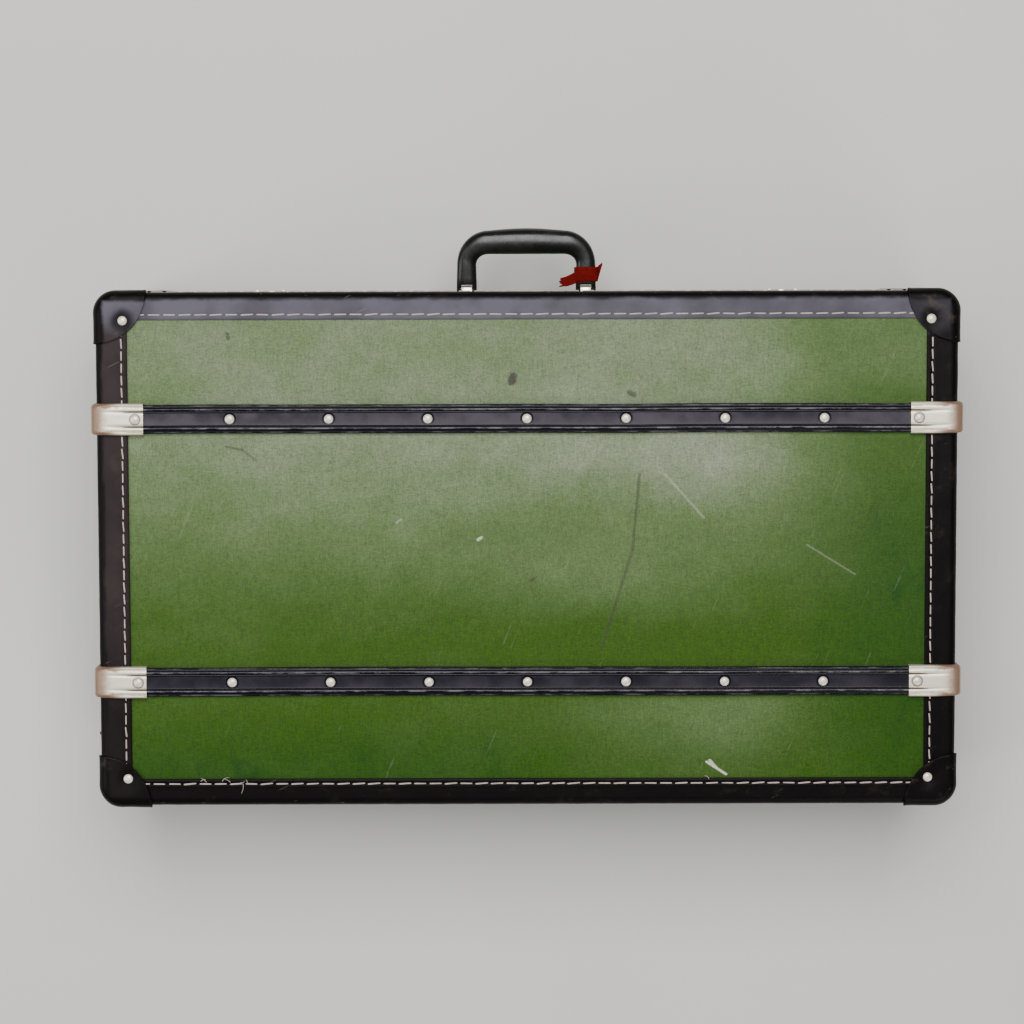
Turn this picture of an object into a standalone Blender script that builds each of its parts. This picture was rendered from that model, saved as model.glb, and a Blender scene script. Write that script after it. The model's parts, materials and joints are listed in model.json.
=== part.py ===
"""Vintage hard-shell suitcase lying on its back: fibre lid and base, stitched edge bindings,
corner caps, ribbed slats with metal ends, swinging handle, two snap latches and two hinges.

Sizes are in millimetres and meshes are written in metres. X runs along the width, +Y points
towards the handle side and +Z up through the lid. Positions are worked out around the middle of
the case and moved by ORIGIN_SHIFT_Y, so that the origin is the middle of the whole footprint.
"""

import math

import bmesh
import bpy
from mathutils import Matrix, Vector

# ---- driving sizes of the case ----
CASE_WIDTH = 750.0          # over the edge bindings
CASE_HEIGHT = 450.0         # over the edge bindings, hinge side to handle side
BASE_DEPTH = 120.0          # seam to the base's binding face
LID_DEPTH = 80.0            # seam to the lid's binding face
CORNER_RADIUS = 18.0        # of the binding outline, seen from above
EDGE_RADIUS = 7.0           # of the binding, between a face and the side walls
SHELL_WALL = 4.0
BINDING_WALL = 1.6
BINDING_WIDTH = 28.0        # down the side walls, and on the face along the short sides
BINDING_LONG_WIDTH = 24.0   # on the face along the long sides
CAP_WALL = 1.8
CAP_REACH = 47.0            # from the sharp outer corner to the cap's round edge
LINING_WALL = 1.2
LINING_STEP = 0.4           # extra room between the tongue and the linings
GAP = 0.3                   # between pieces that touch on the real case
SMALLEST_RADIUS = 0.5

# ---- slats and their metal ends ----
SLAT_WIDTH = 25.0
SLAT_THICK = 6.5
SLAT_FROM_MIDDLE = 115.0
SLAT_END_WALL = 0.9
SLAT_END_REACH = 42.0       # along the face, from the binding's outline
SLAT_END_SIDE_REACH = 30.0  # down the side wall
SLAT_END_SIDE_PROUD = 4.4
SLAT_END_BEND = 8.0

# ---- rivets ----
RIVET_HEAD_RADIUS = 4.0
RIVET_HEAD_HEIGHT = 2.0
RIVET_SHANK_RADIUS = 1.4
RIVET_PITCH = 86.0
SLAT_RIVETS = 7
SLAT_END_RIVET_REACH = 35.0  # from the binding's outline
CORNER_RIVET_INSET = 24.5
CLENCH_WALL = 1.0
CLENCH_WIDTH = 8.0

# ---- seam tongue ----
TONGUE_WALL = 1.5
TONGUE_IN_BASE = 15.0
TONGUE_IN_LID = 8.0
TONGUE_LID_GAP = 1.0

# ---- handle ----
HANDLE_LEG_X = 53.7
HANDLE_BELOW_SEAM = 22.0
HANDLE_TOP = 59.2           # outermost point, from the side wall
HANDLE_BEND = 20.0
HANDLE_ARCH = 1.0
LEG_HALF_WIDTH = 8.7
LEG_FOOT_HALF_WIDTH = 9.1
LEG_HALF_DEPTH = 5.2
GRIP_HALF_WIDTH = 11.7
GRIP_HALF_DEPTH = 10.0
GRIP_END_SHARE = 0.6        # of the change from leg depth to grip depth, reached at the bends
SECTION_POWER = 0.8         # 1 would be an ellipse, 0 a rectangle
PIVOT_HEIGHT = 5.0          # from the side wall
PIN_RADIUS = 1.4
PIN_HOLE_RADIUS = 1.7
LUG_WIDTH = 9.0
LUG_RADIUS = 2.6
BRACKET_PLATE = (28.0, 12.0, 1.2)
LEG_END_BELOW_PIVOT = 3.0

# ---- ribbon tied round the right leg ----
RIBBON_WALL = 0.9
RIBBON_LOW = 7.5            # from the pivot, along the leg
RIBBON_HIGH = 18.5
RIBBON_TAIL = (19.0, 8.0)

# ---- latches ----
LATCH_X = 230.0
LATCH_PLATE = (40.0, 27.0, 1.0)
LATCH_FROM_SEAM = 3.0
CATCH_PLATE = (24.0, 17.0, 1.0)
CATCH_POST = (8.0, 4.0, 2.3)
CATCH_POST_FROM_SEAM = 11.0
HASP_WALL = 1.2
HASP_WIDTH = 20.0
HASP_PIVOT_BELOW_SEAM = 10.0
HASP_REACH = 24.0           # past the seam
HASP_LIFT = 2.6             # pivot height from the side wall
HASP_BARREL_RADIUS = 1.0
HASP_WINDOW_CLEARANCE = 1.5
TRUNNION_RADIUS = 0.6
TRUNNION_HOLE_RADIUS = 0.8
EAR_WALL = 2.4
BUTTON_SIZE = (9.0, 6.0, 1.5)
BUTTON_BELOW_SEAM = 22.0
BUTTON_TRAVEL = 4.0
BUTTON_STEM = (3.0, 2.0)

# ---- hinges ----
HINGE_X = 230.0
HINGE_LENGTH = 50.0
HINGE_LEAF_DEPTH = 20.0
HINGE_LEAF_WALL = 1.0
HINGE_BARREL_RADIUS = 1.7
HINGE_PIN_RADIUS = 0.8
HINGE_HOLE_RADIUS = 1.05
HINGE_MIDDLE_KNUCKLE = 18.0

# ---- levels that follow from the sizes above ----
SHELL_OFFSET = BINDING_WALL + GAP
SHELL_INSIDE = SHELL_OFFSET + SHELL_WALL
CLENCH_OFFSET = SHELL_INSIDE + GAP
TONGUE_OFFSET = SHELL_INSIDE + GAP
LINING_OFFSET = TONGUE_OFFSET + TONGUE_WALL + TONGUE_LID_GAP - 2 * GAP + LINING_STEP
LINING_INSIDE = LINING_OFFSET + LINING_WALL
CAP_OFFSET = -GAP - CAP_WALL
SLAT_FOOT = GAP - SHELL_OFFSET              # above the binding face plane
SLAT_TOP = SLAT_FOOT + SLAT_THICK
SLAT_END_TOP = SLAT_TOP + GAP + SLAT_END_WALL
BASE_FACE_Z = SLAT_END_TOP + GAP + RIVET_HEAD_HEIGHT
SEAM_Z = BASE_FACE_Z + BASE_DEPTH
LID_FACE_Z = SEAM_Z + LID_DEPTH
SIDE_WALL_Y = CASE_HEIGHT / 2 - SHELL_OFFSET
HANDLE_Z = SEAM_Z - HANDLE_BELOW_SEAM
PIVOT_Y = SIDE_WALL_Y + PIVOT_HEIGHT
HINGE_Y = -SIDE_WALL_Y - GAP - HINGE_BARREL_RADIUS
CAP_Y = CASE_HEIGHT / 2 - CAP_OFFSET
ORIGIN_SHIFT_Y = (CAP_Y - (SIDE_WALL_Y + HANDLE_TOP)) / 2

CORNER_STEPS = 4
EDGE_STEPS = 2
ROUND_SIDES = 12
SHANK_SIDES = 6


def clear_scene():
    """Empties the scene that the script starts in."""
    for obj in list(bpy.data.objects):
        bpy.data.objects.remove(obj)


def material(name, color, roughness, metallic=0.0):
    """A Principled BSDF with one colour, roughness and metallic value."""
    made = bpy.data.materials.new(name)
    made.use_nodes = True
    shader = made.node_tree.nodes["Principled BSDF"]
    shader.inputs["Base Color"].default_value = (*color, 1.0)
    shader.inputs["Roughness"].default_value = roughness
    shader.inputs["Metallic"].default_value = metallic
    return made


def finish_mesh(name, bm, surface=None, helper=False):
    """Writes a millimetre bmesh as an object in metres; a helper is a cutter that isn't built."""
    bmesh.ops.recalc_face_normals(bm, faces=bm.faces)
    bm.transform(Matrix.Translation((0, ORIGIN_SHIFT_Y / 1000, 0)) @ Matrix.Scale(0.001, 4))
    mesh = bpy.data.meshes.new(name)
    bm.to_mesh(mesh)
    bm.free()
    obj = bpy.data.objects.new(name, mesh)
    bpy.context.scene.collection.objects.link(obj)
    if helper:
        obj.hide_render = True
        obj.display_type = "WIRE"
        return obj
    mesh.shade_smooth()
    mesh.set_sharp_from_angle(angle=math.radians(35))
    mesh.materials.append(surface)
    return obj


def combine(obj, helper, operation):
    """Adds a Boolean of the helper to the object."""
    modifier = obj.modifiers.new(helper.name, "BOOLEAN")
    modifier.operation = operation
    modifier.object = helper
    modifier.solver = "EXACT"


def add_box(bm, low, high):
    """Adds an axis-aligned box between two corners."""
    size = Vector(high) - Vector(low)
    middle = (Vector(high) + Vector(low)) / 2
    matrix = Matrix.Translation(middle) @ Matrix.Diagonal((*size, 1.0))
    bmesh.ops.create_cube(bm, size=1.0, matrix=matrix)


def add_cylinder(bm, start, end, radius, sides, end_radius=None):
    """Adds a closed cylinder, or a cone frustum, between two points."""
    axis = Vector(end) - Vector(start)
    turn = axis.to_track_quat("Z", "Y").to_matrix().to_4x4()
    bmesh.ops.create_cone(
        bm, cap_ends=True, segments=sides, depth=axis.length, radius1=radius,
        radius2=radius if end_radius is None else end_radius,
        matrix=Matrix.Translation((Vector(start) + Vector(end)) / 2) @ turn,
    )


def add_prism(bm, points, direction):
    """Adds the closed prism that a flat outline sweeps along a direction."""
    verts = [bm.verts.new(point) for point in points]
    swept = bmesh.ops.extrude_face_region(bm, geom=[bm.faces.new(verts)])
    moved = [part for part in swept["geom"] if isinstance(part, bmesh.types.BMVert)]
    bmesh.ops.translate(bm, verts=moved, vec=direction)


def arc(center, radius, start, end, steps):
    """Points on an arc, with angles in degrees."""
    angles = [math.radians(start + (end - start) * k / steps) for k in range(steps + 1)]
    return [(center[0] + radius * math.cos(a), center[1] + radius * math.sin(a)) for a in angles]


class Half:
    """One half of the case. Depth is measured inwards from its binding face plane."""

    def __init__(self, name, face_z, out, rim_depth):
        self.name = name
        self.face_z = face_z
        self.out = out
        self.rim_depth = rim_depth

    def z(self, depth):
        return self.face_z - self.out * depth


BASE = Half("base", BASE_FACE_Z, -1, BASE_DEPTH - GAP / 2)
LID = Half("lid", LID_FACE_Z, 1, LID_DEPTH - GAP / 2)


# ---- shells, linings, bindings: stacks of rounded rectangles ----

def outline(inset, long_inset=None):
    """The case's rounded rectangle, moved inwards by inset, or by another inset at its long sides."""
    radius = max(CORNER_RADIUS - inset, SMALLEST_RADIUS)
    reach_x = CASE_WIDTH / 2 - inset - radius
    reach_y = CASE_HEIGHT / 2 - (long_inset or inset) - radius
    corners = ((reach_x, reach_y, 0), (-reach_x, reach_y, 90),
               (-reach_x, -reach_y, 180), (reach_x, -reach_y, 270))
    points = []
    for x, y, start in corners:
        points += arc((x, y), radius, start, start + 90, CORNER_STEPS)
    return points


def edge_profile(offset, rim_depth):
    """(inset, depth) points of the surface at an offset, from the rim round to the face."""
    radius = max(EDGE_RADIUS - offset, SMALLEST_RADIUS)
    middle = offset + radius
    return [(offset, rim_depth)] + arc((middle, middle), radius, 180, 270, EDGE_STEPS)


def add_stack(bm, half, loops, ring=False):
    """Bridges rounded rectangles in turn; a ring joins the last to the first, else both are capped."""
    rows = [[bm.verts.new((x, y, half.z(depth))) for x, y in outline(inset, *long_inset)]
            for inset, depth, *long_inset in loops]
    if ring:
        rows.append(rows[0])
    for lower, upper in zip(rows, rows[1:]):
        count = len(lower)
        for k in range(count):
            nxt = (k + 1) % count
            bm.faces.new((lower[k], lower[nxt], upper[nxt], upper[k]))
    if not ring:
        bm.faces.new(rows[0])
        bm.faces.new(rows[-1])


def tray_loops(outer_offset, inner_offset, rim_depth):
    """Loops of an open tray whose surfaces lie at two offsets."""
    return edge_profile(inner_offset, rim_depth)[::-1] + edge_profile(outer_offset, rim_depth)


def make_tray(name, half, outer_offset, inner_offset, rim_depth, surface, helper=False):
    bm = bmesh.new()
    add_stack(bm, half, tray_loops(outer_offset, inner_offset, rim_depth))
    return finish_mesh(name, bm, surface, helper)


def make_binding(half, surface):
    """The stitched strip folded over the edge between a face and the side walls."""
    outer = edge_profile(0.0, BINDING_WIDTH) + [(BINDING_WIDTH, 0.0, BINDING_LONG_WIDTH)]
    inner = edge_profile(BINDING_WALL, BINDING_WIDTH) + [(BINDING_WIDTH, BINDING_WALL, BINDING_LONG_WIDTH)]
    bm = bmesh.new()
    add_stack(bm, half, outer + inner[::-1], ring=True)
    return finish_mesh(f"{half.name}_edge_binding", bm, surface)


def make_tongue(surface):
    """The strip inside the base's rim that stands up into the lid and lines the halves up."""
    lid_side = TONGUE_OFFSET + TONGUE_LID_GAP - GAP
    inside = TONGUE_OFFSET + TONGUE_WALL + TONGUE_LID_GAP - GAP
    rim = BASE_DEPTH
    loops = [(TONGUE_OFFSET, rim - TONGUE_IN_BASE), (TONGUE_OFFSET, rim - 2 * GAP),
             (lid_side, rim), (lid_side + GAP, rim + TONGUE_IN_LID),
             (inside, rim + TONGUE_IN_LID), (inside, rim - TONGUE_IN_BASE)]
    bm = bmesh.new()
    add_stack(bm, BASE, loops, ring=True)
    return finish_mesh("base_rim_tongue", bm, surface)


# ---- corner caps ----

def cap_corners():
    return (("front_left", -1, -1), ("front_right", 1, -1), ("rear_left", -1, 1), ("rear_right", 1, 1))


def make_corner_caps(half, surface):
    """Pressed caps: the layer outside the binding, kept within a ball round each sharp corner."""
    blanks = []
    for corner, side_x, side_y in cap_corners():
        cap = make_tray(f"{half.name}_corner_cap_{corner}", half, CAP_OFFSET, -GAP,
                        CAP_REACH + EDGE_RADIUS, surface)
        bm = bmesh.new()
        sharp = Vector((side_x * (CASE_WIDTH / 2 - CAP_OFFSET), side_y * (CASE_HEIGHT / 2 - CAP_OFFSET),
                        half.z(CAP_OFFSET)))
        bmesh.ops.create_uvsphere(bm, u_segments=32, v_segments=16, radius=CAP_REACH,
                                  matrix=Matrix.Translation(sharp))
        combine(cap, finish_mesh(f"{cap.name}_ball", bm, helper=True), "INTERSECT")
        blanks.append(cap)
    return blanks


# ---- slats ----

def slat_profile():
    """Half of the ribbed section as (distance from the middle, height), from the middle outwards."""
    edge = SLAT_WIDTH / 2
    top = SLAT_THICK
    return [(5.4, top), (6.0, top - 1.5), (7.4, top - 1.5), (8.2, top - 0.6),
            (10.2, top - 0.6), (11.2, top - 1.8), (edge, top - 2.8), (edge, 0.0)]


def make_slat(half, place, side_y, surface):
    reach = CASE_WIDTH / 2 - BINDING_WIDTH - GAP
    half_section = slat_profile()
    section = [(-y, h) for y, h in half_section[::-1]] + half_section
    points = [(-reach, side_y * SLAT_FROM_MIDDLE + y, half.z(-SLAT_FOOT - h)) for y, h in section]
    bm = bmesh.new()
    add_prism(bm, points, (2 * reach, 0, 0))
    return finish_mesh(f"{half.name}_{place}_slat", bm, surface)


def slat_end_points(wall, reach, foot, closing):
    """(distance in from the outline, height over the face) points of a slat end, at a wall inwards."""
    top = SLAT_END_TOP - wall
    side = -SLAT_END_SIDE_PROUD + wall
    bend = SLAT_END_BEND - wall
    bend_middle = (-SLAT_END_SIDE_PROUD + SLAT_END_BEND, SLAT_END_TOP - SLAT_END_BEND)
    return [(reach, top)] + arc(bend_middle, bend, 90, 180, 5) + [(side, -foot)] + closing


def make_slat_end(half, place, side_x, side_y, surface):
    """The folded metal shoe over a slat's end, bent round the case's edge."""
    middle_y = side_y * SLAT_FROM_MIDDLE
    over_shell = BINDING_WIDTH + GAP
    seat = [(-GAP, -SLAT_END_SIDE_REACH)] + arc((EDGE_RADIUS, -EDGE_RADIUS), EDGE_RADIUS + GAP, 180, 90, 4)
    seat += [(over_shell, GAP), (over_shell, SLAT_FOOT), (SLAT_END_REACH, SLAT_FOOT)]
    inside = SLAT_END_SIDE_REACH - SLAT_END_WALL
    deep = 2 * EDGE_RADIUS
    hollow = [(deep, -inside), (deep, -deep), (SLAT_END_REACH + deep, -deep)]
    half_width = SLAT_WIDTH / 2 + GAP + SLAT_END_WALL

    def solid(name, profile, half_y, helper):
        points = [(side_x * (CASE_WIDTH / 2 - u), middle_y - half_y, half.z(-v)) for u, v in profile]
        bm = bmesh.new()
        add_prism(bm, points, (0, 2 * half_y, 0))
        return finish_mesh(name, bm, surface, helper)

    side_name = "left" if side_x < 0 else "right"
    name = f"{half.name}_{place}_slat_end_{side_name}"
    shoe = solid(name, slat_end_points(0.0, SLAT_END_REACH, SLAT_END_SIDE_REACH, seat), half_width, False)
    inner = slat_end_points(SLAT_END_WALL, SLAT_END_REACH + deep, inside, hollow)
    combine(shoe, solid(f"{name}_hollow", inner, half_width - SLAT_END_WALL, True), "DIFFERENCE")
    return shoe


# ---- rivets and their holes ----

def add_rivet(bm, half, x, y, seat, clench):
    """A domed head on a seat height over the face, and its shank down to a clench depth."""
    ring = RIVET_HEAD_RADIUS * 0.72
    foot = seat + GAP
    rows = [(RIVET_SHANK_RADIUS, -clench), (RIVET_SHANK_RADIUS, foot), (RIVET_HEAD_RADIUS, foot),
            (ring, foot + RIVET_HEAD_HEIGHT * 0.7), (ring * 0.4, foot + RIVET_HEAD_HEIGHT)]
    loops = []
    for radius, height in rows:
        loops.append([bm.verts.new((x + radius * math.cos(a), y + radius * math.sin(a), half.z(-height)))
                      for a in (2 * math.pi * k / SHANK_SIDES for k in range(SHANK_SIDES))])
    for lower, upper in zip(loops, loops[1:]):
        for k in range(SHANK_SIDES):
            nxt = (k + 1) % SHANK_SIDES
            bm.faces.new((lower[k], lower[nxt], upper[nxt], upper[k]))
    bm.faces.new(loops[0])
    bm.faces.new(loops[-1])


def slat_rivet_places():
    """(x, seat height) of one slat's rivets: the row, and one through each metal end."""
    middle = (SLAT_RIVETS - 1) / 2
    row = [((k - middle) * RIVET_PITCH, SLAT_TOP) for k in range(SLAT_RIVETS)]
    end_x = CASE_WIDTH / 2 - SLAT_END_RIVET_REACH
    return [(-end_x, SLAT_END_TOP)] + row + [(end_x, SLAT_END_TOP)]


def make_slat_rivets(half, place, side_y, surface):
    """A slat's rivets, clenched over one thin strip inside the shell."""
    middle_y = side_y * SLAT_FROM_MIDDLE
    end_x = CASE_WIDTH / 2 - SLAT_END_RIVET_REACH + CLENCH_WIDTH / 2
    bm = bmesh.new()
    low = (-end_x, middle_y - CLENCH_WIDTH / 2, half.z(CLENCH_OFFSET))
    high = (end_x, middle_y + CLENCH_WIDTH / 2, half.z(CLENCH_OFFSET + CLENCH_WALL))
    add_box(bm, (low[0], low[1], min(low[2], high[2])), (high[0], high[1], max(low[2], high[2])))
    strip = finish_mesh(f"{half.name}_{place}_slat_rivets", bm, surface)
    bm = bmesh.new()
    for x, seat in slat_rivet_places():
        add_rivet(bm, half, x, middle_y, seat, CLENCH_OFFSET + CLENCH_WALL / 2)
    combine(strip, finish_mesh(f"{strip.name}_shanks", bm, helper=True), "UNION")
    return strip


def make_corner_rivets(half, surface):
    made = []
    reach_x = CASE_WIDTH / 2 - CORNER_RIVET_INSET
    reach_y = CASE_HEIGHT / 2 - CORNER_RIVET_INSET
    for corner, side_x, side_y in cap_corners():
        x, y = side_x * reach_x, side_y * reach_y
        bm = bmesh.new()
        add_cylinder(bm, (x, y, half.z(CLENCH_OFFSET)), (x, y, half.z(CLENCH_OFFSET + CLENCH_WALL)),
                     RIVET_HEAD_RADIUS, SHANK_SIDES)
        rivet = finish_mesh(f"{half.name}_corner_rivet_{corner}", bm, surface)
        bm = bmesh.new()
        add_rivet(bm, half, x, y, -CAP_OFFSET, CLENCH_OFFSET + CLENCH_WALL / 2)
        combine(rivet, finish_mesh(f"{rivet.name}_shank", bm, helper=True), "UNION")
        made.append(rivet)
    return made


def rivet_drill(half):
    """One cutter with every rivet hole of a half."""
    places = [(x, side_y * SLAT_FROM_MIDDLE) for side_y in (-1, 1) for x, _ in slat_rivet_places()]
    reach_x = CASE_WIDTH / 2 - CORNER_RIVET_INSET
    reach_y = CASE_HEIGHT / 2 - CORNER_RIVET_INSET
    places += [(side_x * reach_x, side_y * reach_y) for _, side_x, side_y in cap_corners()]
    bm = bmesh.new()
    for x, y in places:
        add_cylinder(bm, (x, y, half.z(CLENCH_OFFSET)), (x, y, half.z(-SLAT_END_TOP - GAP)),
                     RIVET_SHANK_RADIUS + GAP, SHANK_SIDES)
    return finish_mesh(f"{half.name}_rivet_drill", bm, helper=True)


def make_half(half, green, black, metal, paper):
    """Everything that repeats on both halves."""
    pieces = [make_tray(f"{half.name}_shell", half, SHELL_OFFSET, SHELL_INSIDE, half.rim_depth, green),
              make_binding(half, black)]
    pieces += make_corner_caps(half, black)
    for place, side_y in (("front", -1), ("rear", 1)):
        pieces.append(make_slat(half, place, side_y, black))
        for side_x in (-1, 1):
            pieces.append(make_slat_end(half, place, side_x, side_y, metal))
    drill = rivet_drill(half)
    for piece in pieces:
        combine(piece, drill, "DIFFERENCE")
    for place, side_y in (("front", -1), ("rear", 1)):
        pieces.append(make_slat_rivets(half, place, side_y, metal))
    pieces += make_corner_rivets(half, metal)
    lining_rim = half.rim_depth if half is BASE else half.rim_depth - TONGUE_IN_LID - 2 * GAP
    pieces.append(make_tray(f"{half.name}_lining", half, LINING_OFFSET, LINING_INSIDE, lining_rim, paper))
    return pieces


# ---- handle ----

def handle_stations():
    """(x, height over the wall, half width, half depth, direction) from the left leg to the middle."""
    arc_base = HANDLE_TOP - GRIP_HALF_WIDTH - HANDLE_ARCH - HANDLE_BEND
    low = PIVOT_HEIGHT - LEG_END_BELOW_PIVOT
    foot = LEG_FOOT_HALF_WIDTH
    legs = [(low, foot - 0.4, LEG_HALF_DEPTH * 0.3), (low + 1.0, foot, LEG_HALF_DEPTH * 0.5),
            (PIVOT_HEIGHT, foot, LEG_HALF_DEPTH * 0.65), (PIVOT_HEIGHT + 6.0, foot, LEG_HALF_DEPTH * 0.85),
            (arc_base, LEG_HALF_WIDTH, LEG_HALF_DEPTH)]
    rows = [(-HANDLE_LEG_X, height, wide, deep, 180.0) for height, wide, deep in legs]
    steps = 4
    for k in range(1, steps + 1):
        share = k / steps
        turn = math.radians(180 - 90 * share)
        x = -HANDLE_LEG_X + HANDLE_BEND + HANDLE_BEND * math.cos(turn)
        wide = LEG_HALF_WIDTH + (GRIP_HALF_WIDTH - HANDLE_ARCH - LEG_HALF_WIDTH) * share
        deep = LEG_HALF_DEPTH + (GRIP_HALF_DEPTH - LEG_HALF_DEPTH) * share * GRIP_END_SHARE
        rows.append((x, arc_base + HANDLE_BEND * math.sin(turn), wide, deep, math.degrees(turn)))
    rows.append((0.0, HANDLE_TOP - GRIP_HALF_WIDTH, GRIP_HALF_WIDTH, GRIP_HALF_DEPTH, 90.0))
    return rows


def rounded_section(wide, deep):
    """(across, up) points of the grip's section, between an ellipse and a rectangle."""
    points = []
    for k in range(ROUND_SIDES):
        c, s = math.cos(2 * math.pi * k / ROUND_SIDES), math.sin(2 * math.pi * k / ROUND_SIDES)
        points.append((math.copysign(abs(c) ** SECTION_POWER, c) * wide,
                       math.copysign(abs(s) ** SECTION_POWER, s) * deep))
    return points


def make_handle(surface):
    """The moulded grip: rounded sections along the path, forked at each end for the lug."""
    left = handle_stations()
    right = [(-x, height, wide, deep, 180 - turn) for x, height, wide, deep, turn in left[-2::-1]]
    rows = []
    bm = bmesh.new()
    for x, height, wide, deep, turn in left + right:
        out = Vector((math.cos(math.radians(turn)), math.sin(math.radians(turn)), 0))
        middle = Vector((x, SIDE_WALL_Y + height, HANDLE_Z))
        rows.append([bm.verts.new(middle + out * across + Vector((0, 0, up)))
                     for across, up in rounded_section(wide, deep)])
    for lower, upper in zip(rows, rows[1:]):
        for k in range(ROUND_SIDES):
            nxt = (k + 1) % ROUND_SIDES
            bm.faces.new((lower[k], lower[nxt], upper[nxt], upper[k]))
    bm.faces.new(rows[0])
    bm.faces.new(rows[-1])
    grip = finish_mesh("handle_grip", bm, surface)
    bm = bmesh.new()
    slot_top = PIVOT_Y + LUG_RADIUS + 3 * GAP
    half_slot = LUG_WIDTH / 2 + GAP
    for side in (-1, 1):
        x = side * HANDLE_LEG_X
        add_box(bm, (x - half_slot, SIDE_WALL_Y, HANDLE_Z - 2 * LUG_RADIUS - 5),
                (x + half_slot, slot_top, HANDLE_Z + 2 * LUG_RADIUS + 5))
    combine(grip, finish_mesh("handle_slots", bm, helper=True), "DIFFERENCE")
    bm = bmesh.new()
    for side in (-1, 1):
        reach = side * (HANDLE_LEG_X + 2 * LEG_HALF_WIDTH)
        near = side * (HANDLE_LEG_X - 2 * LEG_HALF_WIDTH)
        add_cylinder(bm, (near, PIVOT_Y, HANDLE_Z), (reach, PIVOT_Y, HANDLE_Z),
                     PIN_HOLE_RADIUS, ROUND_SIDES)
    combine(grip, finish_mesh("handle_pin_holes", bm, helper=True), "DIFFERENCE")
    return grip


def make_bracket(side_name, side, surface):
    """The plate on the side wall with a lug that the handle's forked leg straddles."""
    x = side * HANDLE_LEG_X
    long, wide, thick = BRACKET_PLATE
    foot = SIDE_WALL_Y + GAP
    bm = bmesh.new()
    add_box(bm, (x - long / 2, foot, HANDLE_Z - wide / 2),
            (x + long / 2, foot + thick, HANDLE_Z + wide / 2))
    bracket = finish_mesh(f"handle_bracket_{side_name}", bm, surface)
    lug = [(foot + thick / 2, -LUG_RADIUS)]
    lug += [(y, z) for z, y in arc((0, PIVOT_Y), LUG_RADIUS, 180, 0, 6)]
    lug += [(foot + thick / 2, LUG_RADIUS)]
    bm = bmesh.new()
    add_prism(bm, [(x - LUG_WIDTH / 2, y, HANDLE_Z + z) for y, z in lug], (LUG_WIDTH, 0, 0))
    combine(bracket, finish_mesh(f"{bracket.name}_lug", bm, helper=True), "UNION")
    bm = bmesh.new()
    add_cylinder(bm, (x - LUG_WIDTH, PIVOT_Y, HANDLE_Z), (x + LUG_WIDTH, PIVOT_Y, HANDLE_Z),
                 PIN_HOLE_RADIUS, ROUND_SIDES)
    combine(bracket, finish_mesh(f"{bracket.name}_eye", bm, helper=True), "DIFFERENCE")
    return bracket


def make_handle_pin(side_name, side, surface):
    x = side * HANDLE_LEG_X
    half_length = LEG_HALF_WIDTH - GAP
    bm = bmesh.new()
    add_cylinder(bm, (x - half_length, PIVOT_Y, HANDLE_Z), (x + half_length, PIVOT_Y, HANDLE_Z),
                 PIN_RADIUS, ROUND_SIDES)
    return finish_mesh(f"handle_pin_{side_name}", bm, surface)


def make_ribbon(surface):
    """The scrap of ribbon round the right leg: a sleeve with one short tail."""
    low, high = PIVOT_Y + RIBBON_LOW, PIVOT_Y + RIBBON_HIGH
    inner_x, inner_z = LEG_FOOT_HALF_WIDTH + 2 * GAP, LEG_HALF_DEPTH + 2 * GAP
    bm = bmesh.new()
    rows = []
    for wall, y in ((0, low), (0, high), (RIBBON_WALL, high), (RIBBON_WALL, low)):
        rows.append([bm.verts.new((HANDLE_LEG_X + x, y, HANDLE_Z + z))
                     for x, z in rounded_section(inner_x + wall, inner_z + wall)])
    rows.append(rows[0])
    for lower, upper in zip(rows, rows[1:]):
        for k in range(ROUND_SIDES):
            nxt = (k + 1) % ROUND_SIDES
            bm.faces.new((lower[k], lower[nxt], upper[nxt], upper[k]))
    sleeve = finish_mesh("luggage_ribbon", bm, surface)
    bm = bmesh.new()
    tail_x = HANDLE_LEG_X - inner_x - RIBBON_WALL / 2
    add_box(bm, (tail_x - RIBBON_TAIL[0], low + GAP, HANDLE_Z - RIBBON_WALL / 2),
            (tail_x, low + GAP + RIBBON_TAIL[1], HANDLE_Z + RIBBON_WALL / 2))
    combine(sleeve, finish_mesh("ribbon_tail", bm, helper=True), "UNION")
    return sleeve


# ---- latches on the handle side ----

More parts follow.
